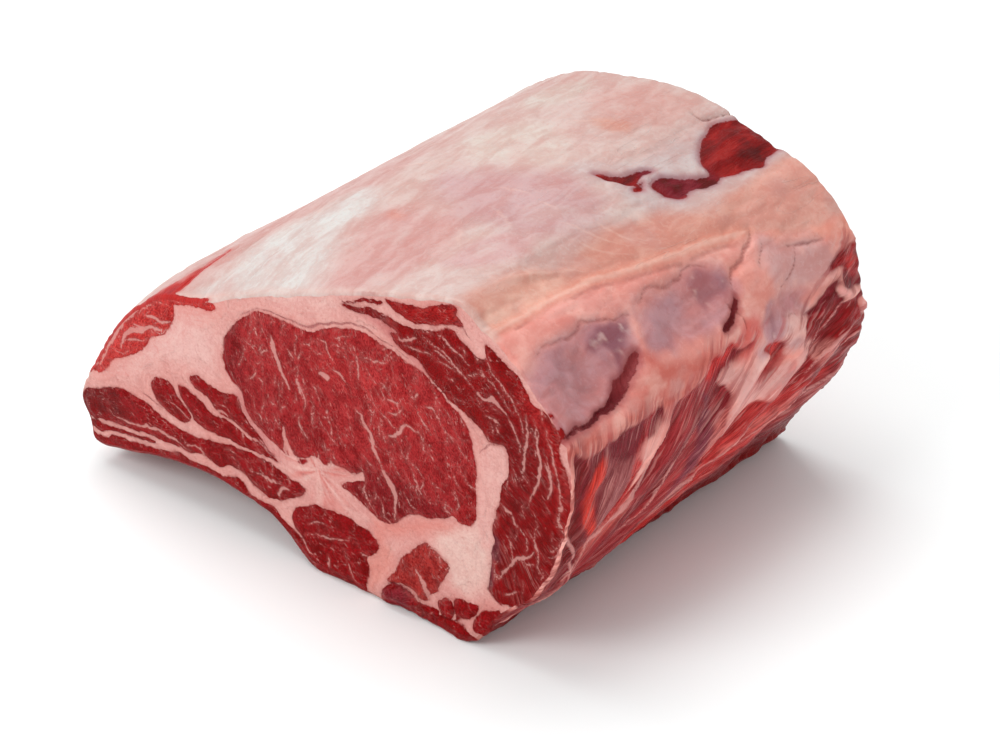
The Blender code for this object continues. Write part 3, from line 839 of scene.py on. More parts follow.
def skin_marks(x, y, z):
    """Depths into every outline and line that is drawn on the outer skin."""
    top = ragged(np.stack([x, y], axis=1), *CAP_RAGS)
    side = ragged(np.stack([y, z], axis=1), *CHINE_RAGS)
    hidden_top = (on_top(z) <= 0.0) * HIDDEN
    hidden_side = (on_side(x) <= 0.0) * HIDDEN
    beyond = ligament_side(top[:, 0], y)
    gone = hidden_top + 6.0 * ramp(36.0, 62.0, y)
    meats = np.array([depth_into(side, shape) for _, shape in SIDE_MEAT])
    return {
        "window": depth_into(top, WINDOW) - hidden_top,
        "slit": depth_into_any(top, (SLIT, SLIT_BIT)) - hidden_top,
        "crease": depth_into_line(top, CREASE, 1.0) - hidden_top,
        "crest": 2.4 - np.abs(beyond) - gone,
        "under crest": 1.7 - np.abs(beyond - 3.0) - gone,
        "side fold": depth_into_line(top, SIDE_FOLD, 2.2) - hidden_top,
        "folds": depth_into_lines(top, ((2.4, FOLDS),)) - hidden_top,
        "left streak": depth_into(top, LEFT_STREAK) - (z < 84.0) * HIDDEN,
        "pockets": depth_into_any(side, POCKETS) - hidden_side,
        "pocket shadows": depth_into_any(side, POCKET_SHADOWS) - hidden_side,
        "slots": depth_into_any(side, SLOTS) - hidden_side,
        "side creases": depth_into_lines(side, SIDE_CREASES) - hidden_side,
        "side meat": meats.max(axis=0) - hidden_side,
        "side meat which": meats.argmax(axis=0),
        "side pale": depth_into_any(side, SIDE_PALE) - hidden_side,
        "fascia": depth_into_lines(side, FASCIA) - hidden_side,
    }


def opening(marks):
    """Depth into the window or the slit, whichever is nearer."""
    return np.maximum(marks["window"], marks["slit"])


def skin_relief(x, y, z, marks, size):
    """Height of the outer skin over the smooth loft."""
    points = np.stack([x, y, z], axis=1)
    to_end = 0.5 * size["length"] - y
    height = bone_hollows(x, y, z) + chine_strands(x, y, z, size) + rib_grooves(x, y, z)

    # Uneven skin, and the marks drawn on it.
    height += 0.7 * fractal_noise(points, 26.0, 1, 2)
    height += 0.42 * fractal_noise(points * (1.0, 0.45, 1.0), 6.0, 5)
    worn = 1.0 + 0.5 * fractal_noise(points, 9.0, 15, 2)
    for name, rise, uneven, low, high in MARK_RELIEF:
        height += rise * (worn if uneven else 1.0) * ramp(low, high, marks[name])
    shown = ramp(0.0, 3.0, opening(marks))
    height += 0.7 * shown * fractal_noise(points * LENGTHWISE, 5.0, 93)

    # A lumpy foot, scalloped along the near rim, and wrinkles everywhere.
    foot = ramp(30.0, 12.0, z) * ramp(-20.0, 20.0, x)
    height += 1.5 * foot * fractal_noise(points, 9.0, 17)
    scallop = ramp(12.0, 0.0, y + 0.5 * size["length"]) * ramp(28.0, 36.0, x) * ramp(14.0, 4.0, z)
    height -= 2.4 * scallop * ramp(-0.1, 0.5, value_noise(points, 7.0, 27))
    wrinkles = np.abs(fractal_noise(points * (1.0, 0.4, 1.0), 11.0, 19))
    height -= 0.45 * ramp(0.14, 0.0, wrinkles)

    # The chine side: fibres, strands, the recess behind the near cut, the swell at the heel.
    meat = ramp(-1.0, 2.0, marks["side meat"]) * ramp(1.0, -1.0, marks["side pale"])
    across, along = fan(y, z)
    height += meat * (0.9 * fractal_noise(in_space(across, 0.10 * along), 5.0, 21) - 1.2)
    height += 0.8 * ramp(-1.4, 0.8, marks["fascia"]) * on_side(x)
    recess = depth_into(np.stack([y, z], axis=1), DARK_RECESS) - (x < CHINE_FROM) * HIDDEN
    height -= 2.0 * ramp(-1.0, 3.0, recess)
    height += HEEL_SWELL_HEIGHT * on_side(x) * oval_dome(y, z, HEEL_SWELL)

    # Ragged edges round the far cut and along the foot.
    far_edge = ramp(20.0, 5.0, to_end) * ramp(20.0, 60.0, x)
    height += 1.3 * far_edge * fractal_noise(points, 12.0, 29)
    torn = meat * ramp(30.0, 4.0, np.minimum(z, to_end))
    return height + torn * 1.6 * fractal_noise(points, 9.0, 25)


def outer_grid(size):
    """Points of the outer skin as rows (along) by columns (around)."""
    y, pulled = stations(size)
    stops = spaced_stops(size)
    curves = section_curves(y / size["length"] + 0.5, stops, size)
    rows, columns = curves.shape[:2]
    x, z = curves.reshape(-1, 2).T
    y_all = np.repeat(y, columns)
    marks = skin_marks(x, y_all, z)
    height = skin_relief(x, y_all, z, marks, size).reshape(rows, columns) - pulled[:, None]
    moved = curves + height[:, :, None] * outward(curves)
    points = np.stack([moved[:, :, 0], np.repeat(y[:, None], columns, axis=1),
                       np.maximum(moved[:, :, 1], 0.0)], axis=2)
    near = ramp(22.0, 0.0, y - y[0])[:, None]
    points[:, :, 1] -= near * heel_bulge(points[0, :, 0], points[0, :, 2])[None, :]
    return points, stops, marks


def heel_bulge(x, z):
    """How far the muscles at the foot of the near cut stand forward."""
    foot = ramp(20.0, 4.0, z) * ramp(-16.0, 4.0, x) * ramp(86.0, 76.0, x)
    lumps = value_noise(np.stack([x, 0.0 * x, z], axis=1), 9.0, 28)
    return 1.6 * foot * (0.75 + 0.45 * lumps)


# ---- Colour of the cut ----


def round_the_eye(flat):
    """Heading of the crescent of the cap where it runs round the eye."""
    return np.arctan2(CRESCENT_CENTRE[0] - flat[:, 0], flat[:, 1] - CRESCENT_CENTRE[1])


def marbling_lines():
    """Short fat lines through the eye and the cap, always the same: width, line."""
    random = np.random.default_rng(MARBLING_SEED)
    (low_x, low_z), (high_x, high_z) = MARBLING_BOX
    lines = []
    for _ in range(MARBLING_COUNT):
        start = np.array([random.uniform(low_x, high_x), random.uniform(low_z, high_z)])
        in_crescent = np.hypot(*(start - CRESCENT_CENTRE)) > CRESCENT_RADIUS
        heading = round_the_eye(start[None])[0] if in_crescent else EYE_HEADING
        heading += random.normal(0.0, 0.35)
        width = random.uniform(0.30, 0.84)
        line = wander(random, start, heading, random.integers(2, 6), 1.0, 2.4)
        lines.append((width, line))
        if random.uniform() < 0.35:
            fork = line[len(line) // 2]
            turn = heading + random.choice((-1.0, 1.0)) * random.uniform(0.5, 1.1)
            lines.append((0.8 * width, wander(random, fork, turn, 2, 0.8, 1.6)))
    return lines


def wander(random, start, heading, steps, shortest, longest):
    """A line of a few strides that keeps roughly to its heading."""
    line = [start]
    for _ in range(steps):
        heading += random.normal(0.0, 0.22)
        stride = random.uniform(shortest, longest)
        line.append(line[-1] + stride * np.array([math.cos(heading), math.sin(heading)]))
    return line


def in_space(first, second):
    """Points of a plane as points in space, for the noise."""
    return np.stack([first, second, np.zeros(len(first))], axis=1)


def warp(flat, size, reach, seed):
    """Small uneven shifts of points in a plane."""
    spread = in_space(*flat.T)
    first = value_noise(spread + (0.0, 0.0, 3.3), size, seed)
    second = value_noise(spread + (0.0, 0.0, 9.7), size, seed)
    return reach * np.stack([first, second], axis=1)


def ragged(flat, *rags):
    """Points of a plane shifted unevenly, so that outlines drawn there look torn."""
    moved = flat
    for rag in rags:
        moved = moved + warp(flat, *rag)
    return moved


def cut_fields(flat, seed):
    """Depths and colours of the cut at points given by x and z."""
    bent = ragged(flat, (5.5, 0.9, seed), (2.0, 0.35, seed + 40))
    depths = np.array([depth_into(bent, row[3]) for row in MUSCLES])
    which = depths.argmax(axis=0)
    lean = depths.max(axis=0)
    headings = np.array([math.nan if row[2] is None else row[2] for row in MUSCLES])[which]
    headings = np.where(np.isnan(headings), round_the_eye(flat), headings)
    jagged = bent + warp(flat, 1.6, 0.45, seed + 60)
    veins = depth_into_lines(jagged, VEINS, VEIN_REACH)
    marbling = deepest(depth_into_line(bent, line, width, MARBLING_REACH)
                       for width, line in marbling_lines())
    spread = in_space(*flat.T)
    lean_colour = np.array([row[1] for row in MUSCLES])[which]
    lean_colour = stain(lean_colour, LEAN_TONES, bent, 2.0 * value_noise(spread, 5.0, 77))
    pink = 0.6 * ramp(-0.2, 0.8, fractal_noise(spread, 18.0, seed + 3))
    fat = CUT_FAT + (CUT_FAT_PINK - CUT_FAT) * pink[:, None]
    fat = stain(fat, CUT_TONES, bent, 1.5 * fractal_noise(spread, 7.0, seed + 5))
    along = flat[:, 0] * np.cos(headings) + flat[:, 1] * np.sin(headings)
    across = flat[:, 1] * np.cos(headings) - flat[:, 0] * np.sin(headings)
    bands = fractal_noise(in_space(across, 0.22 * along), 3.2, seed + 9)
    lean_colour = lean_colour * (1.0 + 0.20 * bands)[:, None] ** (0.7, 1.7, 1.6)
    return {
        "lean": lean,
        "vein": np.maximum(veins, marbling),
        "membrane": depth_into_lines(bent, CUT_MEMBRANES, VEIN_REACH),
        "lean_colour": lean_colour / CUT_LIGHT,
        "fat_colour": radiating(fat, flat) / CUT_LIGHT,
        "grain": in_space(across, along),
    }


def radiating(fat, flat):
    """Fat with pink and pale streaks that radiate from the knot under the eye."""
    offset = flat - FAT_KNOT
    distance = np.hypot(offset[:, 0], offset[:, 1])
    angle = np.arctan2(offset[:, 1], offset[:, 0])
    rays = fractal_noise(in_space(9.0 * angle, 0.12 * distance), 2.0, 87)
    near = ramp(24.0, 8.0, distance)
    fat = paint(fat, CUT_FAT_RAW, 0.75 * near * ramp(0.05, 0.5, rays))
    return paint(fat, CUT_FAT_PALE, 0.7 * near * ramp(0.05, 0.5, -rays))


def cut_relief(flat, fields, seed):
    """How far the cut stands forward: muscles bulge, fat seams sink."""
    spread = in_space(*flat.T)
    lean = fields["lean"]
    height = 1.1 * fractal_noise(spread, 30.0, seed + 7, 2)
    height += 0.8 * ramp(-0.6, 3.5, lean)
    height -= 0.22 * ramp(-0.3, 0.3, fields["vein"]) * ramp(0.0, 1.0, lean)
    height += 0.22 * fractal_noise(spread, 4.0, seed + 11)
    heel = ramp(30.0, 14.0, flat[:, 1]) * ramp(20.0, 40.0, flat[:, 0])
    height += 0.5 * heel * ramp(-0.8, 2.4, lean)
    return height - 0.35 * ramp(-0.6, 0.4, fields["membrane"])


# ---- Colour of the outer skin ----


def paint(colours, colour, share):
    """Colours moved towards another colour by a share."""
    return colours + (np.asarray(colour) - colours) * np.clip(share, 0.0, 1.0)[..., None]


def plain(colour, points):
    return np.tile(colour, (len(points), 1))


def stain(colours, tones, plane, uneven):
    """Paint soft patches, their edges shifted by some uneven depth."""
    for colour, softness, share, outline in tones:
        depth = depth_into(plane, outline, reach=STAIN_REACH) + uneven
        colours = paint(colours, colour, share * ramp(-softness, softness, depth))
    return colours


def top_colours(flat, marks):
    """Colour of the fat cap, as white light would show it."""
    x = flat[:, 0]
    uneven = 6.5 * fractal_noise(flat * (1.0, 0.5, 1.0), 13.0, 51, 4)
    colours = stain(plain(CAP_FAT, x), TOP_TONES, flat[:, :2], uneven)
    brushed = fractal_noise(flat * (1.0, 0.35, 1.0), 9.0, 41)
    colours = colours * (1.0 + 0.07 * brushed)[:, None] ** (0.4, 1.2, 1.3)
    cloudy = fractal_noise(flat * (1.0, 0.7, 1.0), 13.0, 43, 4)
    colours = paint(colours, CAP_PALE, 0.35 * ramp(0.05, 0.50, cloudy) * ramp(76.0, 66.0, x))
    colours = paint(colours, CAP_BLUSH, 0.45 * ramp(0.05, 0.50, -cloudy))
    rim = ramp(-4.0, 0.8, opening(marks) + 0.3 * uneven)
    return paint(colours, WINDOW_RIM, 0.75 * rim) / TOP_LIGHT


def side_colours(flat, marks):
    """Colour of the fat past the ligament, with the pockets, their painted shadows and glints, and
    the slots' edges.
    """
    y, z = flat[:, 1], flat[:, 2]
    plane = flat[:, 1:]
    uneven = 2.2 * fractal_noise(flat, 9.0, 61)
    colours = stain(plain(CHINE_FAT, y), SIDE_TONES, plane, uneven)
    cloudy = fractal_noise(flat, 8.0, 63)
    colours = paint(colours, CHINE_PALE, 0.55 * ramp(0.05, 0.55, cloudy))
    high = ramp(122.0, 114.0, z)
    colours = paint(colours, CHINE_GREY, 0.55 * high * ramp(0.05, 0.55, -cloudy))
    pocket = ramp(-3.0, 2.6, marks["pockets"] + 1.2 * uneven)
    patchy = ramp(-0.4, 0.6, fractal_noise(flat, 11.0, 65))
    inside = paint(plain(POCKET_TONE, y), POCKET_WARM, 0.6 * patchy)
    grey = depth_into_any(plane, POCKET_GREYS, STAIN_REACH)
    inside = paint(inside, POCKET_GREY, 0.55 * ramp(-3.0, 3.0, grey + 1.5 * uneven))
    drawn = fractal_noise(flat * (1.0, 1.0, 0.45), 3.4, 66)
    inside = inside * (1.0 + 0.16 * drawn)[:, None]
    colours = paint(colours, inside, pocket)
    # Painted shadow in the pockets.
    deep = ramp(-0.5, 3.8, marks["pocket shadows"] + 0.9 * uneven + 1.8 * drawn)
    deep = deep * (1.0 - 0.35 * ramp(-45.0, -25.0, y))
    colours = paint(colours, POCKET_PAINTED_SHADOW, 0.92 * deep)
    # Painted glints in the cap fat's colour, inside the pockets' painted shadow.
    painted_glint = ramp(0.25, 0.5, fractal_noise(flat * (1.0, 1.0, 0.35), 3.0, 67, 2))
    colours = paint(colours, CAP_FAT, 0.45 * painted_glint * ramp(0.0, 3.0, marks["pocket shadows"]))
    colours = paint(colours, SLOT_EDGE, 0.65 * ramp(-2.8, 0.4, marks["slots"] + 0.4 * uneven))
    light = SIDE_LIGHT + (LOW_LIGHT - SIDE_LIGHT) * ramp(100.0, 75.0, z)
    return colours / light[:, None]


def side_lean(flat, marks):
    """Depth into the chine side's meat, and its colour."""
    colours = np.array([row[0] for row in SIDE_MEAT])[marks["side meat which"]]
    across, along = fan(flat[:, 1], flat[:, 2])
    drawn = in_space(across, 0.08 * along)
    streaks = fractal_noise(drawn, 5.0, 81)
    fine = fractal_noise(drawn, 2.8, 83)
    colours = paint(colours, SIDE_BRIGHT, 0.5 * ramp(0.05, 0.6, streaks))
    colours = paint(colours, SIDE_DARK * 0.7, 0.6 * ramp(0.05, 0.6, -streaks))
    colours = stain(colours, MEAT_TONES, ragged(flat[:, 1:], *CHINE_RAGS), 2.6 * streaks)
    colours = paint(colours, SIDE_DARK, 0.55 * ramp(0.08, 0.55, fine))
    colours = paint(colours, SIDE_BRIGHT, 0.35 * ramp(0.08, 0.55, -fine))
    uneven = (1.2 + 1.6 * ramp(30.0, 60.0, flat[:, 1])) * streaks
    depth = np.minimum(marks["side meat"] + uneven, -marks["side pale"] + uneven)
    return depth, colours / LOW_LIGHT


def opened_colours(flat):
    """The red meat in the window and the slit of the cap."""
    y = flat[:, 1]
    purple = 0.8 * ramp(64.0, 50.0, y) * ramp(26.0, 34.0, y)
    shown = paint(plain(WINDOW_RED, y), WINDOW_PURPLE, purple)
    fold = fractal_noise(flat * LENGTHWISE, 5.0, 93)
    fold = fold + 0.45 * fractal_noise(flat * (1.0, 0.5, 1.0), 2.6, 95, 2)
    shown = paint(shown, WINDOW_DARK, 0.75 * ramp(0.08, 0.45, fold))
    return paint(shown, WINDOW_BRIGHT, 0.6 * ramp(0.10, 0.50, -fold)) / TOP_LIGHT


def skin_fields(points, stops, marks, size):
    """Depths, colours and fibre coordinates of the outer skin."""
    rows = points.shape[0]
    flat = points.reshape(-1, 3)
    x, y, z = flat.T
    stop = np.tile(stops, rows)
    tail = TAIL_STOP + 0.9 * fractal_noise(flat, 13.0, 99) - stop
    under = (stop > HEEL - 0.7) & (tail > -0.6)
    past = ramp(-0.5, 2.5, ligament_side(x, y)) * ramp(60.0, 75.0, x)
    on_chine = past > 0.5

    # Round the near rim the skin shows what the cut shows there.
    strip = section_curves(np.zeros(1), stops, size)[0]
    cut = cut_fields(strip + (PLUG_CENTRE - strip) * RIM_INSET, NEAR_CUT_SEED)
    keep = near_rim_share(y, size)
    worn = 1.2 * fractal_noise(flat * LENGTHWISE, 4.0, 91)
    lean, lean_colour = skin_meat(flat, marks, under, tail)
    lean = lean * (1.0 - keep) + (np.tile(cut["lean"], rows) + worn) * keep
    lean_colour = paint(lean_colour, np.tile(cut["lean_colour"], (rows, 1)), keep)

    across, along = fan(y, z)
    smeared = 0.8 * ramp(-2.0, 4.0, depth_into(flat[:, 1:], SMEARED_FAT))
    torn = np.maximum(ramp(-7.8, -1.5, marks["side meat"]), smeared)
    torn = torn * on_chine * ramp(0.0, -2.0, opening(marks)) * ramp(0.0, -2.0, marks["slots"])
    return {
        "lean": lean,
        "lean_colour": lean_colour,
        "fat_colour": skin_fat(flat, marks, past, under, size),
        "grain": in_space(np.where(under, y, np.where(on_chine, across, x)),
                          np.where(under, x, np.where(on_chine, along, y))),
        "torn": np.maximum(torn, 0.5 * under),
        # The ridges and the crest get painted highlights, the creases and the line under the crest
        # painted shade.
        "ridge": np.maximum(marks["side fold"], marks["folds"]) - 0.5,
        "crease": np.maximum(marks["side creases"], marks["crease"]),
        "crest": marks["crest"],
        "under_crest": marks["under crest"],
        "strand": np.where(on_chine, marks["fascia"], -REACH),
        "cap": 1.0 - past,
    }


def skin_fat(flat, marks, past, under, size):
    """Colour of the fat on the cap, past the ligament and on the underside."""
    x, y, z = flat.T
    fat = paint(top_colours(flat, marks), side_colours(flat, marks), past)
    fat = paint(fat, PEACH_FAT / SIDE_LIGHT, 0.5 * ramp(-2.2, 2.0, marks["crest"]))
    rim = 1.0 - ramp(1.0, 4.5, y + 0.5 * size["length"])
    lit = CUT_LIGHT + (TOP_LIGHT - CUT_LIGHT) * on_top(z)
    fat = paint(fat, RIM_FAT / lit[:, None], 0.6 * rim * (1.0 - on_side(x) * (past > 0.5)))
    pale = ramp(-1.0, 1.0, marks["side pale"])
    fat = paint(fat, FASCIA_PALE / LOW_LIGHT, pale * on_side(x) * (z < 98))
    left = 1.0 - ramp(-90.0, -60.0, x)
    return paint(fat, UNDER_FAT, np.maximum(under, 0.7 * left * ramp(70.0, 50.0, z)))


def skin_meat(flat, marks, under, tail):
    """Depth into the meat that the outer skin shows, and its colour."""
    x, z = flat[:, 0], flat[:, 2]
    meat = overlay(side_lean(flat, marks), opening(marks), opened_colours(flat))
    # The slots: dark red with painted shade, lighter higher up.
    slot = paint(plain(SLOT_RED_AND_SHADE, x), SLOT_LIGHT, 0.85 * ramp(99.0, 110.0, z))
    meat = overlay(meat, marks["slots"], slot)
    mixed = fractal_noise(flat * (1.0, 0.25, 1.0), 4.0, 97)
    streak = paint(plain(BRIGHT_RED, x), STREAK_PALE, 0.75 * ramp(0.02, 0.40, mixed))
    streak = paint(streak, STREAK_DARK, 0.7 * ramp(0.05, 0.45, -mixed))
    lean, lean_colour = overlay(meat, marks["left streak"] + 1.6 * mixed, streak / CUT_LIGHT)
    lean = np.where(under, np.minimum(under_lean(flat), 9.0 * tail), lean)
    return lean, np.where(under[:, None], DEEP_RED, lean_colour)


def overlay(meat, depth, colour):
    """Meat, as depth and colour, with another patch laid over it in its own colour."""
    lean, lean_colour = meat
    return np.maximum(lean, depth), np.where((depth > -2.0)[:, None], colour, lean_colour)


def near_rim_share(y, size):
    return 1.0 - ramp(0.8, 2.6, y + 0.5 * size["length"])


def ligament_side(x, y):
    """How far a point lies past the ligament, towards the chine side."""
    line = spline(LIGAMENT, CURVE_SAMPLES, closed=False)
    return x - np.interp(y, line[:, 1], line[:, 0])


def under_lean(flat):
    """Strips of rib meat under the roast, between the grooves of the ribs."""
    x, y = flat[:, 0], flat[:, 1]
    bend = 5.0 * fractal_noise(flat, 30.0, 101, 2)
    strip = 3.5 * np.cos(2.0 * np.pi * (y + 2.0 * bend) / RIB_SPACING) + 2.0
    strip = strip + 6.0 * fractal_noise(flat, 10.0, 111)
    base = 1.7 + 7.5 * fractal_noise(flat * (1.0, 0.4, 1.0), 16.0, 121)
    base = base + 6.0 * ramp(50.0, 66.0, x)
    right = ramp(-20.0, 5.0, x)
    return strip * (1.0 - right) + base * right


# ---- Meshes ----


def new_mesh(name, points, faces, fields, uvs):
    """A piece from points in millimetres, with its fields as attributes.

    The fields are those of the first points. The hidden points after them take
    the first point's values.
    """
    mesh = bpy.data.meshes.new(name)
    mesh.from_pydata((points * MM).tolist(), [], faces)
    mesh.shade_smooth()
    mesh.set_sharp_from_angle(angle=math.radians(SHARP_FROM))
    layer = mesh.uv_layers.new(name="OFBake")
    layer.data.foreach_set("uv", np.asarray(uvs, np.float32).ravel())
    for key, values in fields.items():
        hidden = np.repeat(values[:1], len(points) - len(values), axis=0)
        values = np.concatenate([values, hidden])
        kind, slot = ("FLOAT", "value") if values.ndim == 1 else ("FLOAT_VECTOR", "vector")
        if key.endswith("colour"):
            kind, slot = "FLOAT_COLOR", "color"
            values = np.concatenate([values, np.ones((len(values), 1))], axis=1)
        attribute = mesh.attributes.new(key, kind, "POINT")
        attribute.data.foreach_set(slot, np.asarray(values, np.float32).ravel())
    piece = bpy.data.objects.new(name, mesh)
    bpy.context.scene.collection.objects.link(piece)
    return piece


def plug_back(ring, depth, sign):
    """Hidden back of a cut or of the skin's end: a step in, then a point."""
    centre = np.array(PLUG_CENTRE)
    reach = np.linalg.norm(ring[:, [0, 2]] - centre, axis=1)
    share = (1.0 - PLUG_DEPTH / reach)[:, None]
    inner = ring.copy()
    inner[:, [0, 2]] = centre + (ring[:, [0, 2]] - centre) * share
    inner[:, 1] += sign * depth
    apex = np.array([[centre[0], inner[0, 1], centre[1]]])
    return np.concatenate([inner, apex])


def outer_piece(points, fields):
    """The outer skin, with a hidden step and point behind each of its ends."""
    rows, columns = points.shape[:2]
    near_back = plug_back(points[0], PLUG_DEPTH + PLUG_GAP, 1.0)
    far_back = plug_back(points[-1], PLUG_DEPTH + PLUG_GAP, -1.0)
    everything = np.concatenate([points.reshape(-1, 3), near_back, far_back])
    faces = []
    uvs = []
    column_u, column_strip, row_v = outer_layout(points)
    for column in range(columns):
        after = (column + 1) % columns
        left, right = column_u[column]
        heights = column_strip[column] + row_v
        for row, (low, high) in enumerate(zip(heights, heights[1:])):
            here = row * columns
            above = here + columns
            faces.append((here + column, here + after, above + after, above + column))
            uvs += [(left, low), (right, low), (right, high), (left, high)]
    ends = ((0, rows * columns, 1), ((rows - 1) * columns, rows * columns + columns + 1, -1))
    for ring, back, turn in ends:
        for column in range(columns):
            after = (column + 1) % columns
            faces.append((ring + column, back + column, back + after, ring + after)[::turn])
            faces.append((back + column, back + columns, back + after)[::turn])
            uvs += [HIDDEN_UV] * 7
    return new_mesh("outer_skin", everything, faces, fields, uvs)


def outer_layout(points):
    """Where the outer skin lies on its map: two strips, one above the other."""
    columns = points.shape[1]
    middle = points[points.shape[0] // 2]
    length = np.linalg.norm(np.roll(middle, -1, axis=0) - middle, axis=1)
    top_columns = int(np.argmin(np.where(middle[:, 0] > 60, middle[:, 2], np.inf)))
    widest = max(length[:top_columns].sum(), length[top_columns:].sum())
    column_u = []
    column_strip = []
    for start, end, base in ((0, top_columns, 0.0), (top_columns, columns, SECOND_STRIP)):
        passed = np.concatenate([[0.0], np.cumsum(length[start:end])])
        along = passed / widest * MAP_SPAN + MAP_MARGIN
        column_u += list(zip(along[:-1], along[1:]))
        column_strip += [base + MAP_MARGIN] * (end - start)
    y = points[:, 0, 1]
    return column_u, column_strip, (y - y[0]) / widest * MAP_SPAN


def cut_mesh_points(ring, step):
    """Points of a cut: its rim, then an even grid inside it."""
    flat = ring[:, [0, 2]]
    low = flat.min(axis=0)
    high = flat.max(axis=0)
    rise = step * math.sqrt(0.75)
    grid = []
    for number, z in enumerate(np.arange(low[1], high[1], rise)):
        shift = 0.5 * step * (number % 2)
        x = np.arange(low[0] + shift, high[0], step)
        grid.append(np.stack([x, np.full(len(x), z)], axis=1))
    grid = np.concatenate(grid)
    inside = depth_into(grid, flat, samples=1) > 0.55 * step
    return np.concatenate([flat, grid[inside]])


def cut_piece(name, ring, step, front, fields_of, seed):
    """A cut: its face inside the rim, and a hidden back behind it."""
    flat = cut_mesh_points(ring, step)
    count = len(ring)
    edges = [(i, (i + 1) % count) for i in range(count)]
    triangles = delaunay_2d_cdt([Vector(point) for point in flat], edges, [], 1, 1e-5)[2]
    fields = fields_of(flat)
    height = cut_relief(flat, fields, seed)
    height *= ramp(0.0, 4.0, depth_into(flat, ring[:, [0, 2]], samples=1))
    sign = -1.0 if front else 1.0
    base = ring[:, 1].max() if front else ring[0, 1]
    points = np.stack([flat[:, 0], base + sign * height, flat[:, 1]], axis=1)
    if front:
        points[:, 1] -= heel_bulge(flat[:, 0], flat[:, 1])
    everything = np.concatenate([points, plug_back(ring, PLUG_DEPTH, -sign)])
    turn = 1 if front else -1
    faces = [tuple(triangle)[::turn] for triangle in triangles]
    first = len(points)
    for i, after in edges:
        faces.append((i, after, first + after, first + i)[::turn])
        faces.append((first + i, first + after, first + count)[::turn])
    return new_mesh(name, everything, faces, fields, cut_map(everything, faces, len(triangles)))


def cut_map(points, faces, front_faces):
    """The face fills the lower part of the map, the hidden back the top."""
    low = points.min(axis=0)
    width = np.ptp(points[:, 0])
    uvs = []
    for number, face in enumerate(faces):
        scale, base = FACE_MAP if number < front_faces else BACK_MAP
        for index in face:
            u = (points[index, 0] - low[0]) / width * scale + MAP_MARGIN
            v = (points[index, 2] - low[2]) / width * scale + base
            uvs.append((u, v))
    return uvs


def far_cut_fields(flat, size):
    """The far cut shows the same muscles, drawn out to its own outline."""
    stops = np.arange(0, len(LANDMARKS), 0.4)
    near, far = (section_curves(along, stops, size)[0] for along in (np.zeros(1), np.ones(1)))
    moved = np.zeros_like(flat)
    weight = np.zeros(len(flat))
    for start, end in zip(far, near):
        pull = 1.0 / (np.sum((flat - start) ** 2, axis=1) + 60.0) ** 1.5
        moved += pull[:, None] * (end - start)
        weight += pull
    placed = flat + moved / weight[:, None]
    spread = in_space(*flat.T)
    placed[:, 0] += 5.0 * value_noise(spread, 38.0, 201)
    placed[:, 1] += 4.0 * value_noise(spread, 34.0, 203)
    return cut_fields(placed, FAR_CUT_SEED)


# ---- Materials ----


SUBSURFACE = 0.10
SUBSURFACE_TINT = (1.0, 0.45, 0.35)
SUBSURFACE_REACH = 1.6


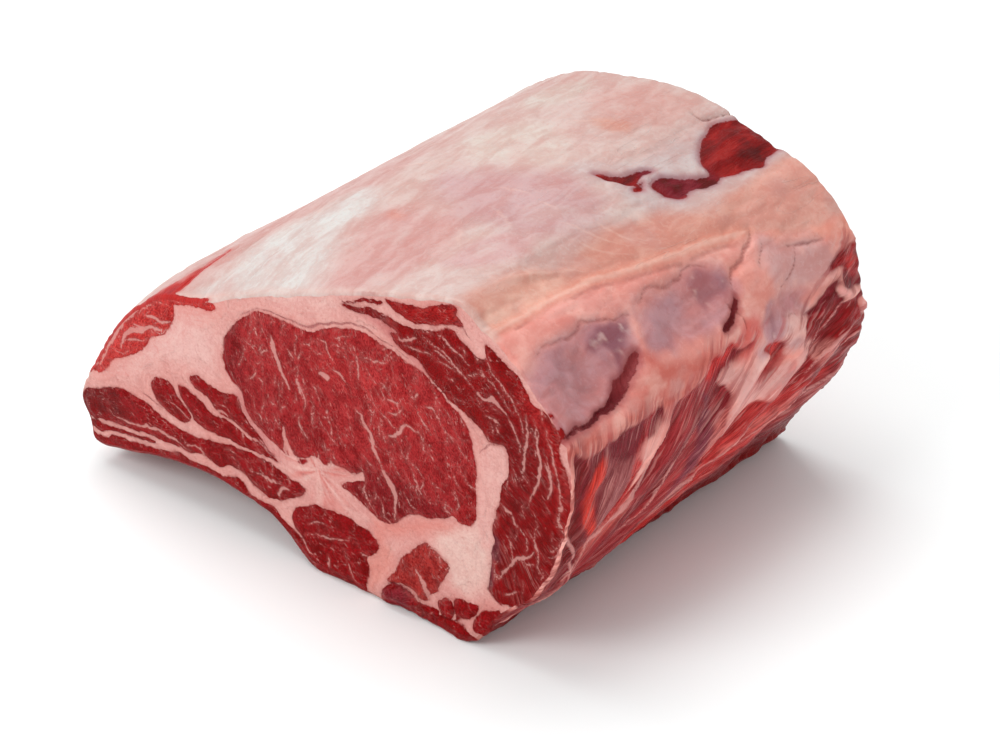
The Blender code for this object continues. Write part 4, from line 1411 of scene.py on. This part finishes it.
class Graph:
    """One material's nodes. An input takes a number, a colour or a socket."""

    def __init__(self, name):
        self.material = bpy.data.materials.new(name)
        self.material.use_nodes = True
        self.tree = self.material.node_tree
        self.shader = self.tree.nodes["Principled BSDF"]

    def feed(self, socket, value):
        if isinstance(value, bpy.types.NodeSocket):
            self.tree.links.new(value, socket)
        elif value is not None:
            socket.default_value = value

    def attribute(self, name, output="Fac"):
        node = self.tree.nodes.new("ShaderNodeAttribute")
        node.attribute_name = name
        return node.outputs[output]

    def place(self):
        """The point's own place, in millimetres."""
        node = self.tree.nodes.new("ShaderNodeTexCoord")
        return self.vector("SCALE", node.outputs["Object"], scale=1.0 / MM)

    def vector(self, operation, first, second=None, scale=None):
        node = self.tree.nodes.new("ShaderNodeVectorMath")
        node.operation = operation
        self.feed(node.inputs[0], first)
        self.feed(node.inputs[1], second)
        if scale is not None:
            node.inputs["Scale"].default_value = scale
        return node.outputs["Vector"]

    def stretch(self, where, along):
        """The place, for noise that is drawn out along its second direction."""
        return self.vector("MULTIPLY", where, (1.0, along, 1.0))

    def math(self, operation, first, *more):
        """The values joined one after the other."""
        for value in more:
            node = self.tree.nodes.new("ShaderNodeMath")
            node.operation = operation
            self.feed(node.inputs[0], first)
            self.feed(node.inputs[1], value)
            first = node.outputs[0]
        return first

    def add(self, *values):
        return self.math("ADD", *values)

    def times(self, *values):
        return self.math("MULTIPLY", *values)

    def weighted(self, total, *terms):
        """The total with each term's value added as often as its weight says."""
        for value, weight in terms:
            total = self.add(total, self.times(value, weight))
        return total

    def noise(self, where, size, detail=2.0, distortion=0.0, roughness=0.5, output=0):
        """Noise from 0 to 1 with features of the given size in millimetres."""
        node = self.tree.nodes.new("ShaderNodeTexNoise")
        self.feed(node.inputs["Vector"], where)
        node.inputs["Scale"].default_value = 1.0 / size
        node.inputs["Detail"].default_value = detail
        node.inputs["Distortion"].default_value = distortion
        node.inputs["Roughness"].default_value = roughness
        return node.outputs[output]

    def bend(self, where, size, amount):
        """The place, shifted by smooth noise."""
        noise = self.noise(where, size, output="Color")
        shift = self.vector("SUBTRACT", noise, (0.5, 0.5, 0.5))
        return self.vector("ADD", where, self.vector("SCALE", shift, scale=amount))

    def cells(self, where, size):
        """Distance to the nearest edge of uneven cells, in cell sizes."""
        node = self.tree.nodes.new("ShaderNodeTexVoronoi")
        node.feature = "DISTANCE_TO_EDGE"
        self.feed(node.inputs["Vector"], where)
        node.inputs["Scale"].default_value = 1.0 / size
        return node.outputs["Distance"]

    def lines(self, where, size, width, distortion):
        """1 on thin wandering lines, 0 between them."""
        level = self.centred(self.noise(where, size, 2.0, distortion), 1.0)
        away = self.math("ABSOLUTE", level, 0.0)
        return self.math("SUBTRACT", 1.0, self.ramp(away, 0.15 * width, width))

    def centred(self, value, height):
        """Noise around 0 instead of 0.5, of the given height."""
        return self.times(self.math("SUBTRACT", value, 0.5), height)

    def between(self, share, first, second):
        """A number that moves from the first to the second."""
        node = self.tree.nodes.new("ShaderNodeMix")
        node.data_type = "FLOAT"
        self.feed(node.inputs["Factor"], share)
        self.feed(node.inputs[2], first)
        self.feed(node.inputs[3], second)
        return node.outputs[0]

    def ramp(self, value, low, high):
        node = self.tree.nodes.new("ShaderNodeMapRange")
        node.interpolation_type = "SMOOTHSTEP"
        self.feed(node.inputs["Value"], value)
        node.inputs["From Min"].default_value = low
        node.inputs["From Max"].default_value = high
        return node.outputs["Result"]

    def mix(self, share, first, second, blend="MIX"):
        node = self.tree.nodes.new("ShaderNodeMix")
        node.data_type = "RGBA"
        node.blend_type = blend
        self.feed(node.inputs["Factor"], share)
        self.feed(node.inputs[6], first)
        self.feed(node.inputs[7], second)
        return node.outputs[2]

    def toned(self, colour, *factors):
        """The colour with its red, green and blue multiplied."""
        return self.mix(1.0, colour, (*factors, 1.0), "MULTIPLY")

    def tint(self, colour, *tones):
        """The colour under other ones: colour, value, low and high of its ramp, share."""
        for other, value, low, high, share in tones:
            colour = self.mix(self.times(self.ramp(value, low, high), share), colour, other)
        return colour

    def bump(self, height, distance):
        node = self.tree.nodes.new("ShaderNodeBump")
        self.feed(node.inputs["Height"], height)
        node.inputs["Distance"].default_value = distance * MM
        node.inputs["Strength"].default_value = 1.0
        return node.outputs["Normal"]

    def finish(self, colour, roughness, normal, gloss, sheen):
        """The sheen is the white light that the gloss adds; the colour makes up for it."""
        colour = self.mix(1.0, colour, (sheen, sheen, sheen, 1.0), "SUBTRACT")
        colour = self.mix(1.0, colour, (0.001, 0.001, 0.001, 1.0), "LIGHTEN")
        self.feed(self.shader.inputs["Base Color"], colour)
        self.feed(self.shader.inputs["Roughness"], roughness)
        self.feed(self.shader.inputs["Normal"], normal)
        self.shader.inputs["Subsurface Weight"].default_value = SUBSURFACE
        self.shader.inputs["Subsurface Radius"].default_value = SUBSURFACE_TINT
        self.shader.inputs["Subsurface Scale"].default_value = SUBSURFACE_REACH * MM
        self.shader.inputs["Specular IOR Level"].default_value = gloss
        return self.material


def colour_value(values):
    return (float(values[0]), float(values[1]), float(values[2]), 1.0)


PALE_SINEW = colour_value(tone(240, 212, 204) / TOP_LIGHT)
PAINTED_RIDGE_HIGHLIGHT = colour_value(FOLD_HIGHLIGHT / 1.08)
PALE_STRAND = colour_value(tone(214, 150, 144) / LOW_LIGHT)
PAINTED_CREASE_SHADE = colour_value(CREASE_SHADE_BROWN / SIDE_LIGHT)
DARK_MEMBRANE = colour_value(tone(142, 56, 60) / CUT_LIGHT)


def cut_material():
    """Marbled meat and fat as a knife leaves them."""
    graph = Graph("cut meat")
    place = graph.place()
    grain = graph.attribute("grain", "Vector")
    drawn = graph.stretch(grain, 0.30)
    short = graph.stretch(grain, 0.5)
    depth = graph.attribute("lean")
    ragged = graph.centred(graph.noise(place, 2.0, 4.0, 0.5, 0.6), 1.6)
    frayed = graph.centred(graph.noise(drawn, 0.9, 2.0, 0.2), 0.6)
    lean = graph.add(depth, graph.add(ragged, frayed))
    firmness = graph.between(graph.ramp(graph.noise(place, 9.0, 3.0), 0.38, 0.60), 0.30, 1.3)
    lean_share = graph.ramp(graph.times(lean, firmness), -0.14, 0.16)
    jagged = graph.centred(graph.noise(place, 1.2, 3.0, 0.8, 0.6), 1.4)
    vein = graph.add(graph.attribute("vein"), jagged)
    halo = graph.times(graph.ramp(vein, -1.1, 0.1), 0.10)
    core = graph.times(graph.ramp(vein, -0.12, 0.34), 0.82)
    speck = graph.noise(short, 1.3, 3.0, 0.6, 0.6)
    gate = graph.ramp(graph.noise(place, 6.0, 2.0, 0.3), 0.44, 0.60)
    fleck = graph.times(graph.ramp(speck, 0.58, 0.67), gate, 0.56)
    bundle = graph.cells(graph.bend(short, 2.6, 1.0), 2.2)
    net = graph.times(graph.ramp(bundle, 0.10, 0.01), 0.12, gate)
    pale = graph.math("MAXIMUM", core, halo, fleck, net)

    red = graph.attribute("lean_colour", "Color")
    fat = graph.attribute("fat_colour", "Color")
    fibre = graph.noise(short, 0.55, 3.0, 0.3, 0.65)
    mottle = graph.noise(place, 8.0, 6.0, 0.6, 0.62)
    patchy = graph.noise(short, 3.4, 4.0, 0.6, 0.6)
    shade = graph.toned(red, 0.55, 0.36, 0.38)
    light = graph.toned(red, 1.24, 1.65, 1.55)
    meat = graph.tint(graph.mix(graph.ramp(fibre, 0.35, 0.65), shade, light),
                      (shade, mottle, 0.51, 0.64, 0.60),
                      (light, mottle, 0.45, 0.34, 0.50),
                      (shade, patchy, 0.52, 0.64, 0.60),
                      (light, patchy, 0.47, 0.36, 0.50))
    film = graph.ramp(graph.noise(place, 7.0, 3.0, 0.5), 0.50, 0.64)
    meat = graph.mix(graph.times(graph.ramp(lean, 3.0, 0.2), film, 0.10), meat, fat)
    # Painted shade along the inside of each muscle's edge.
    meat = graph.tint(meat, (shade, lean, 1.1, 0.1, 0.30))
    meat = graph.mix(pale, meat, graph.mix(0.12, fat, red))

    pink = graph.mix(0.30, fat, red)
    white = graph.toned(fat, 1.05, 1.17, 1.17)
    bands = graph.vector("ADD", graph.vector("MULTIPLY", place, (0.12, 0.0, 0.12)), depth)
    layer = graph.noise(bands, 1.9, 4.0, 0.3, 0.6)
    clot = graph.noise(place, 7.0, 5.0, 0.7, 0.60)
    crumb = graph.noise(place, 1.1, 3.0, 0.4, 0.6)
    lobule = graph.cells(graph.bend(place, 3.0, 2.4), 3.4)
    fat = graph.tint(fat,
                     (pink, layer, 0.52, 0.66, 0.34),
                     (white, layer, 0.47, 0.34, 0.50),
                     (pink, clot, 0.51, 0.66, 0.42),
                     (white, clot, 0.47, 0.34, 0.60),
                     (pink, lobule, 0.12, 0.02, 0.20),
                     (pink, graph.add(lean, graph.centred(mottle, 5.0)), -2.6, 0.2, 0.55),
                     (red, graph.add(lean, graph.centred(clot, 2.4)), -1.0, 0.3, 0.30),
                     (red, graph.noise(place, 2.0, 4.0, 0.5), 0.60, 0.74, 0.22),
                     (pink, crumb, 0.53, 0.68, 0.50),
                     (white, crumb, 0.47, 0.34, 0.50))

    thin = graph.add(graph.attribute("membrane"), graph.times(jagged, 0.5))
    membrane = graph.times(graph.ramp(thin, -0.20, 0.45), 0.65)
    colour = graph.mix(membrane, graph.mix(lean_share, fat, meat), DARK_MEMBRANE)
    rise = graph.weighted(graph.times(fibre, graph.add(lean_share, 0.1)),
                          (pale, -0.5), (layer, 0.5), (clot, 0.7), (crumb, 0.7), (membrane, -1.0))
    roughness = graph.weighted(0.28, (fibre, 0.16))
    return graph.finish(colour, roughness, graph.bump(rise, 0.42), 0.05, 0.006)


def skin_material():
    """Fat cap, membranes and torn meat of the outer surface, with painted highlights and shade."""
    graph = Graph("outer meat")
    place = graph.place()
    drawn = graph.stretch(graph.attribute("grain", "Vector"), 0.07)
    torn = graph.attribute("torn")
    ragged = graph.centred(graph.noise(place, 2.4, 4.0, 0.6, 0.6), 2.0)
    frayed = graph.centred(graph.noise(drawn, 1.6, 3.0, 0.3), 2.2)
    lean = graph.add(graph.attribute("lean"), graph.between(torn, ragged, frayed))
    lean_share = graph.ramp(graph.times(lean, graph.between(torn, 1.0, 0.36)), -0.25, 0.35)

    red = graph.attribute("lean_colour", "Color")
    fat = graph.attribute("fat_colour", "Color")
    fibre = graph.noise(drawn, 0.7, 3.0, 0.3, 0.7)
    broad = graph.noise(drawn, 2.8, 4.0, 0.5, 0.6)
    shade = graph.toned(red, 0.58, 0.44, 0.46)
    light = graph.toned(red, 1.18, 1.45, 1.40)
    strong = graph.between(torn, 0.35, 1.0)
    meat = graph.mix(graph.times(graph.ramp(fibre, 0.32, 0.66), strong), shade, light)
    meat = graph.mix(graph.times(graph.math("SUBTRACT", 1.0, strong), 0.55), meat, light)
    meat = graph.tint(meat, (shade, broad, 0.48, 0.36, 0.55))
    meat = graph.mix(graph.times(graph.ramp(broad, 0.54, 0.70), torn, 0.22), meat, fat)
    hair = graph.ramp(graph.noise(drawn, 1.1, 2.0, 0.15, 0.6), 0.56, 0.68)
    hair = graph.times(hair, torn, 0.34)
    meat = graph.mix(hair, meat, PALE_STRAND)

    streak = graph.noise(graph.stretch(place, 0.40), 9.0, 5.0, 0.7, 0.58)
    clot = graph.noise(place, 8.0, 6.0, 0.6, 0.58)
    fine = graph.noise(place, 2.2, 5.0, 0.5, 0.68)
    warm = graph.toned(fat, 0.935, 0.81, 0.79)
    cool = graph.toned(fat, 1.04, 1.09, 1.09)
    skin = graph.tint(graph.mix(graph.ramp(streak, 0.36, 0.64), warm, cool),
                      (warm, clot, 0.52, 0.70, 0.5),
                      (warm, fine, 0.52, 0.68, 0.60),
                      (cool, fine, 0.48, 0.34, 0.55))
    patch = graph.ramp(graph.noise(place, 22.0, 2.0, 0.3), 0.50, 0.62)
    patch = graph.times(patch, graph.attribute("cap"))
    strand_place = graph.stretch(place, 0.16)
    sinew = graph.times(graph.lines(strand_place, 7.0, 0.010, 0.1), patch)
    skin = graph.mix(graph.times(sinew, 0.16), skin, PALE_SINEW)
    capillary = graph.lines(strand_place, 4.0, 0.016, 0.4)
    skin = graph.mix(graph.times(capillary, patch, 0.45), skin, warm)
    skin = graph.tint(skin, (red, lean, -2.2, 0.0, 0.30))
    near_meat = graph.between(graph.ramp(lean, -14.0, -1.0), 0.85, 1.0)
    bloody = graph.times(graph.ramp(broad, 0.46, 0.57), near_meat, torn, 0.55)
    skin = graph.mix(bloody, skin, red)
    skin = graph.mix(graph.times(hair, 0.8), skin, PALE_SINEW)
    # Painted highlights along the folds' ridges and the ligament's crest, made uneven.
    painted_light_unevenness = graph.centred(graph.noise(place, 3.0, 3.0, 0.5), 1.1)
    skin = graph.tint(skin,
                      (PAINTED_RIDGE_HIGHLIGHT, graph.add(graph.attribute("ridge"), painted_light_unevenness), -0.4, 0.6, 0.22),
                      (PAINTED_RIDGE_HIGHLIGHT, graph.add(graph.attribute("crest"), painted_light_unevenness), 0.6, 2.4, 0.42))
    # Painted shade in the creases and in a line under the ligament's crest, faded in places.
    faded = graph.ramp(graph.noise(place, 14.0, 2.0, 0.3), 0.36, 0.52)
    under = graph.ramp(graph.add(graph.attribute("under_crest"), painted_light_unevenness), 0.4, 1.7)
    crease = graph.ramp(graph.weighted(graph.attribute("crease"), (painted_light_unevenness, 0.7)), -0.55, 0.60)
    crease = graph.math("MAXIMUM", graph.times(crease, 0.62), graph.times(under, faded, 0.34))
    skin = graph.mix(crease, skin, PAINTED_CREASE_SHADE)

    split = graph.centred(graph.noise(drawn, 1.3, 2.0, 0.2), 0.9)
    strand = graph.ramp(graph.add(graph.attribute("strand"), split), -0.35, 0.45)
    strand = graph.times(strand, torn, 0.62)
    colour = graph.mix(strand, graph.mix(lean_share, skin, meat), PALE_STRAND)
    rise = graph.weighted(graph.times(fibre, graph.times(lean_share, 1.2)),
                          (streak, 0.6), (clot, 0.8), (fine, 0.36), (sinew, 0.25), (strand, 0.7),
                          (crease, -0.9))
    roughness = graph.weighted(0.26, (fine, 0.20))
    return graph.finish(colour, roughness, graph.bump(rise, 0.44), 0.15, 0.015)


# ---- Stage ----

CAMERA_AT = (0.6982, -0.8317, 0.6946)
CAMERA_AIM = (0.0526, -0.0486, 0.0848)
CAMERA_LENS = 115.2
CAMERA_SENSOR = 36.0
# Soft lights: name, place, size, power.
LIGHTS = (
    ("key", (-0.45, 0.20, 1.60), 1.4, 15.0),
    ("fill", (-0.35, -1.35, 1.15), 0.8, 10.0),
)
LIGHTS_AIM = (0.0, 0.0, 0.06)
SKY = 0.68
FLOOR_SIZE = 8.0
FLOOR_COLOUR = (0.955, 0.985, 0.985, 1.0)
FLOOR_ROUGHNESS = 0.9


def make_stage():
    bpy.ops.mesh.primitive_plane_add(size=FLOOR_SIZE, location=(0.0, 0.0, 0.0))
    floor = bpy.context.object
    floor.name = "floor"
    material = bpy.data.materials.new("pale floor")
    material.use_nodes = True
    shader = material.node_tree.nodes["Principled BSDF"]
    shader.inputs["Base Color"].default_value = FLOOR_COLOUR
    shader.inputs["Roughness"].default_value = FLOOR_ROUGHNESS
    floor.data.materials.append(material)


def put(thing, place, target):
    """Set a light or the camera at a place, aimed at a target."""
    thing.location = place
    aim = Vector(target) - Vector(place)
    thing.rotation_euler = aim.to_track_quat("-Z", "Y").to_euler()
    bpy.context.scene.collection.objects.link(thing)


def make_light():
    world = bpy.data.worlds.new("studio")
    world.use_nodes = True
    background = world.node_tree.nodes["Background"]
    background.inputs["Color"].default_value = (1.0, 1.0, 1.0, 1.0)
    background.inputs["Strength"].default_value = SKY
    bpy.context.scene.world = world
    for name, place, side, power in LIGHTS:
        light = bpy.data.lights.new(name, "AREA")
        light.size = side
        light.energy = power
        put(bpy.data.objects.new(name, light), place, LIGHTS_AIM)


def make_camera():
    camera = bpy.data.objects.new("camera", bpy.data.cameras.new("camera"))
    camera.data.lens = CAMERA_LENS
    camera.data.sensor_width = CAMERA_SENSOR
    put(camera, CAMERA_AT, CAMERA_AIM)
    bpy.context.scene.camera = camera
    bpy.context.scene.view_settings.view_transform = "Standard"


def main():
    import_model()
    low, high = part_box("roast")
    size = {"width": (high.x - low.x) / MM, "length": (high.y - low.y) / MM}
    points, stops, marks = outer_grid(size)
    outer = outer_piece(points, skin_fields(points, stops, marks, size))
    near_cut = cut_piece("near_cut", points[0], NEAR_CUT_STEP, True,
                         lambda flat: cut_fields(flat, NEAR_CUT_SEED), NEAR_CUT_SEED)
    far_cut = cut_piece("far_cut", points[-1], FAR_CUT_STEP, False,
                        lambda flat: far_cut_fields(flat, size), FAR_RELIEF_SEED)
    outer.data.materials.append(skin_material())
    cut = cut_material()
    near_cut.data.materials.append(cut)
    far_cut.data.materials.append(cut)
    for piece in (outer, near_cut, far_cut):
        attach(piece, "root")
        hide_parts("roast")
    make_stage()
    make_light()
    make_camera()


main()
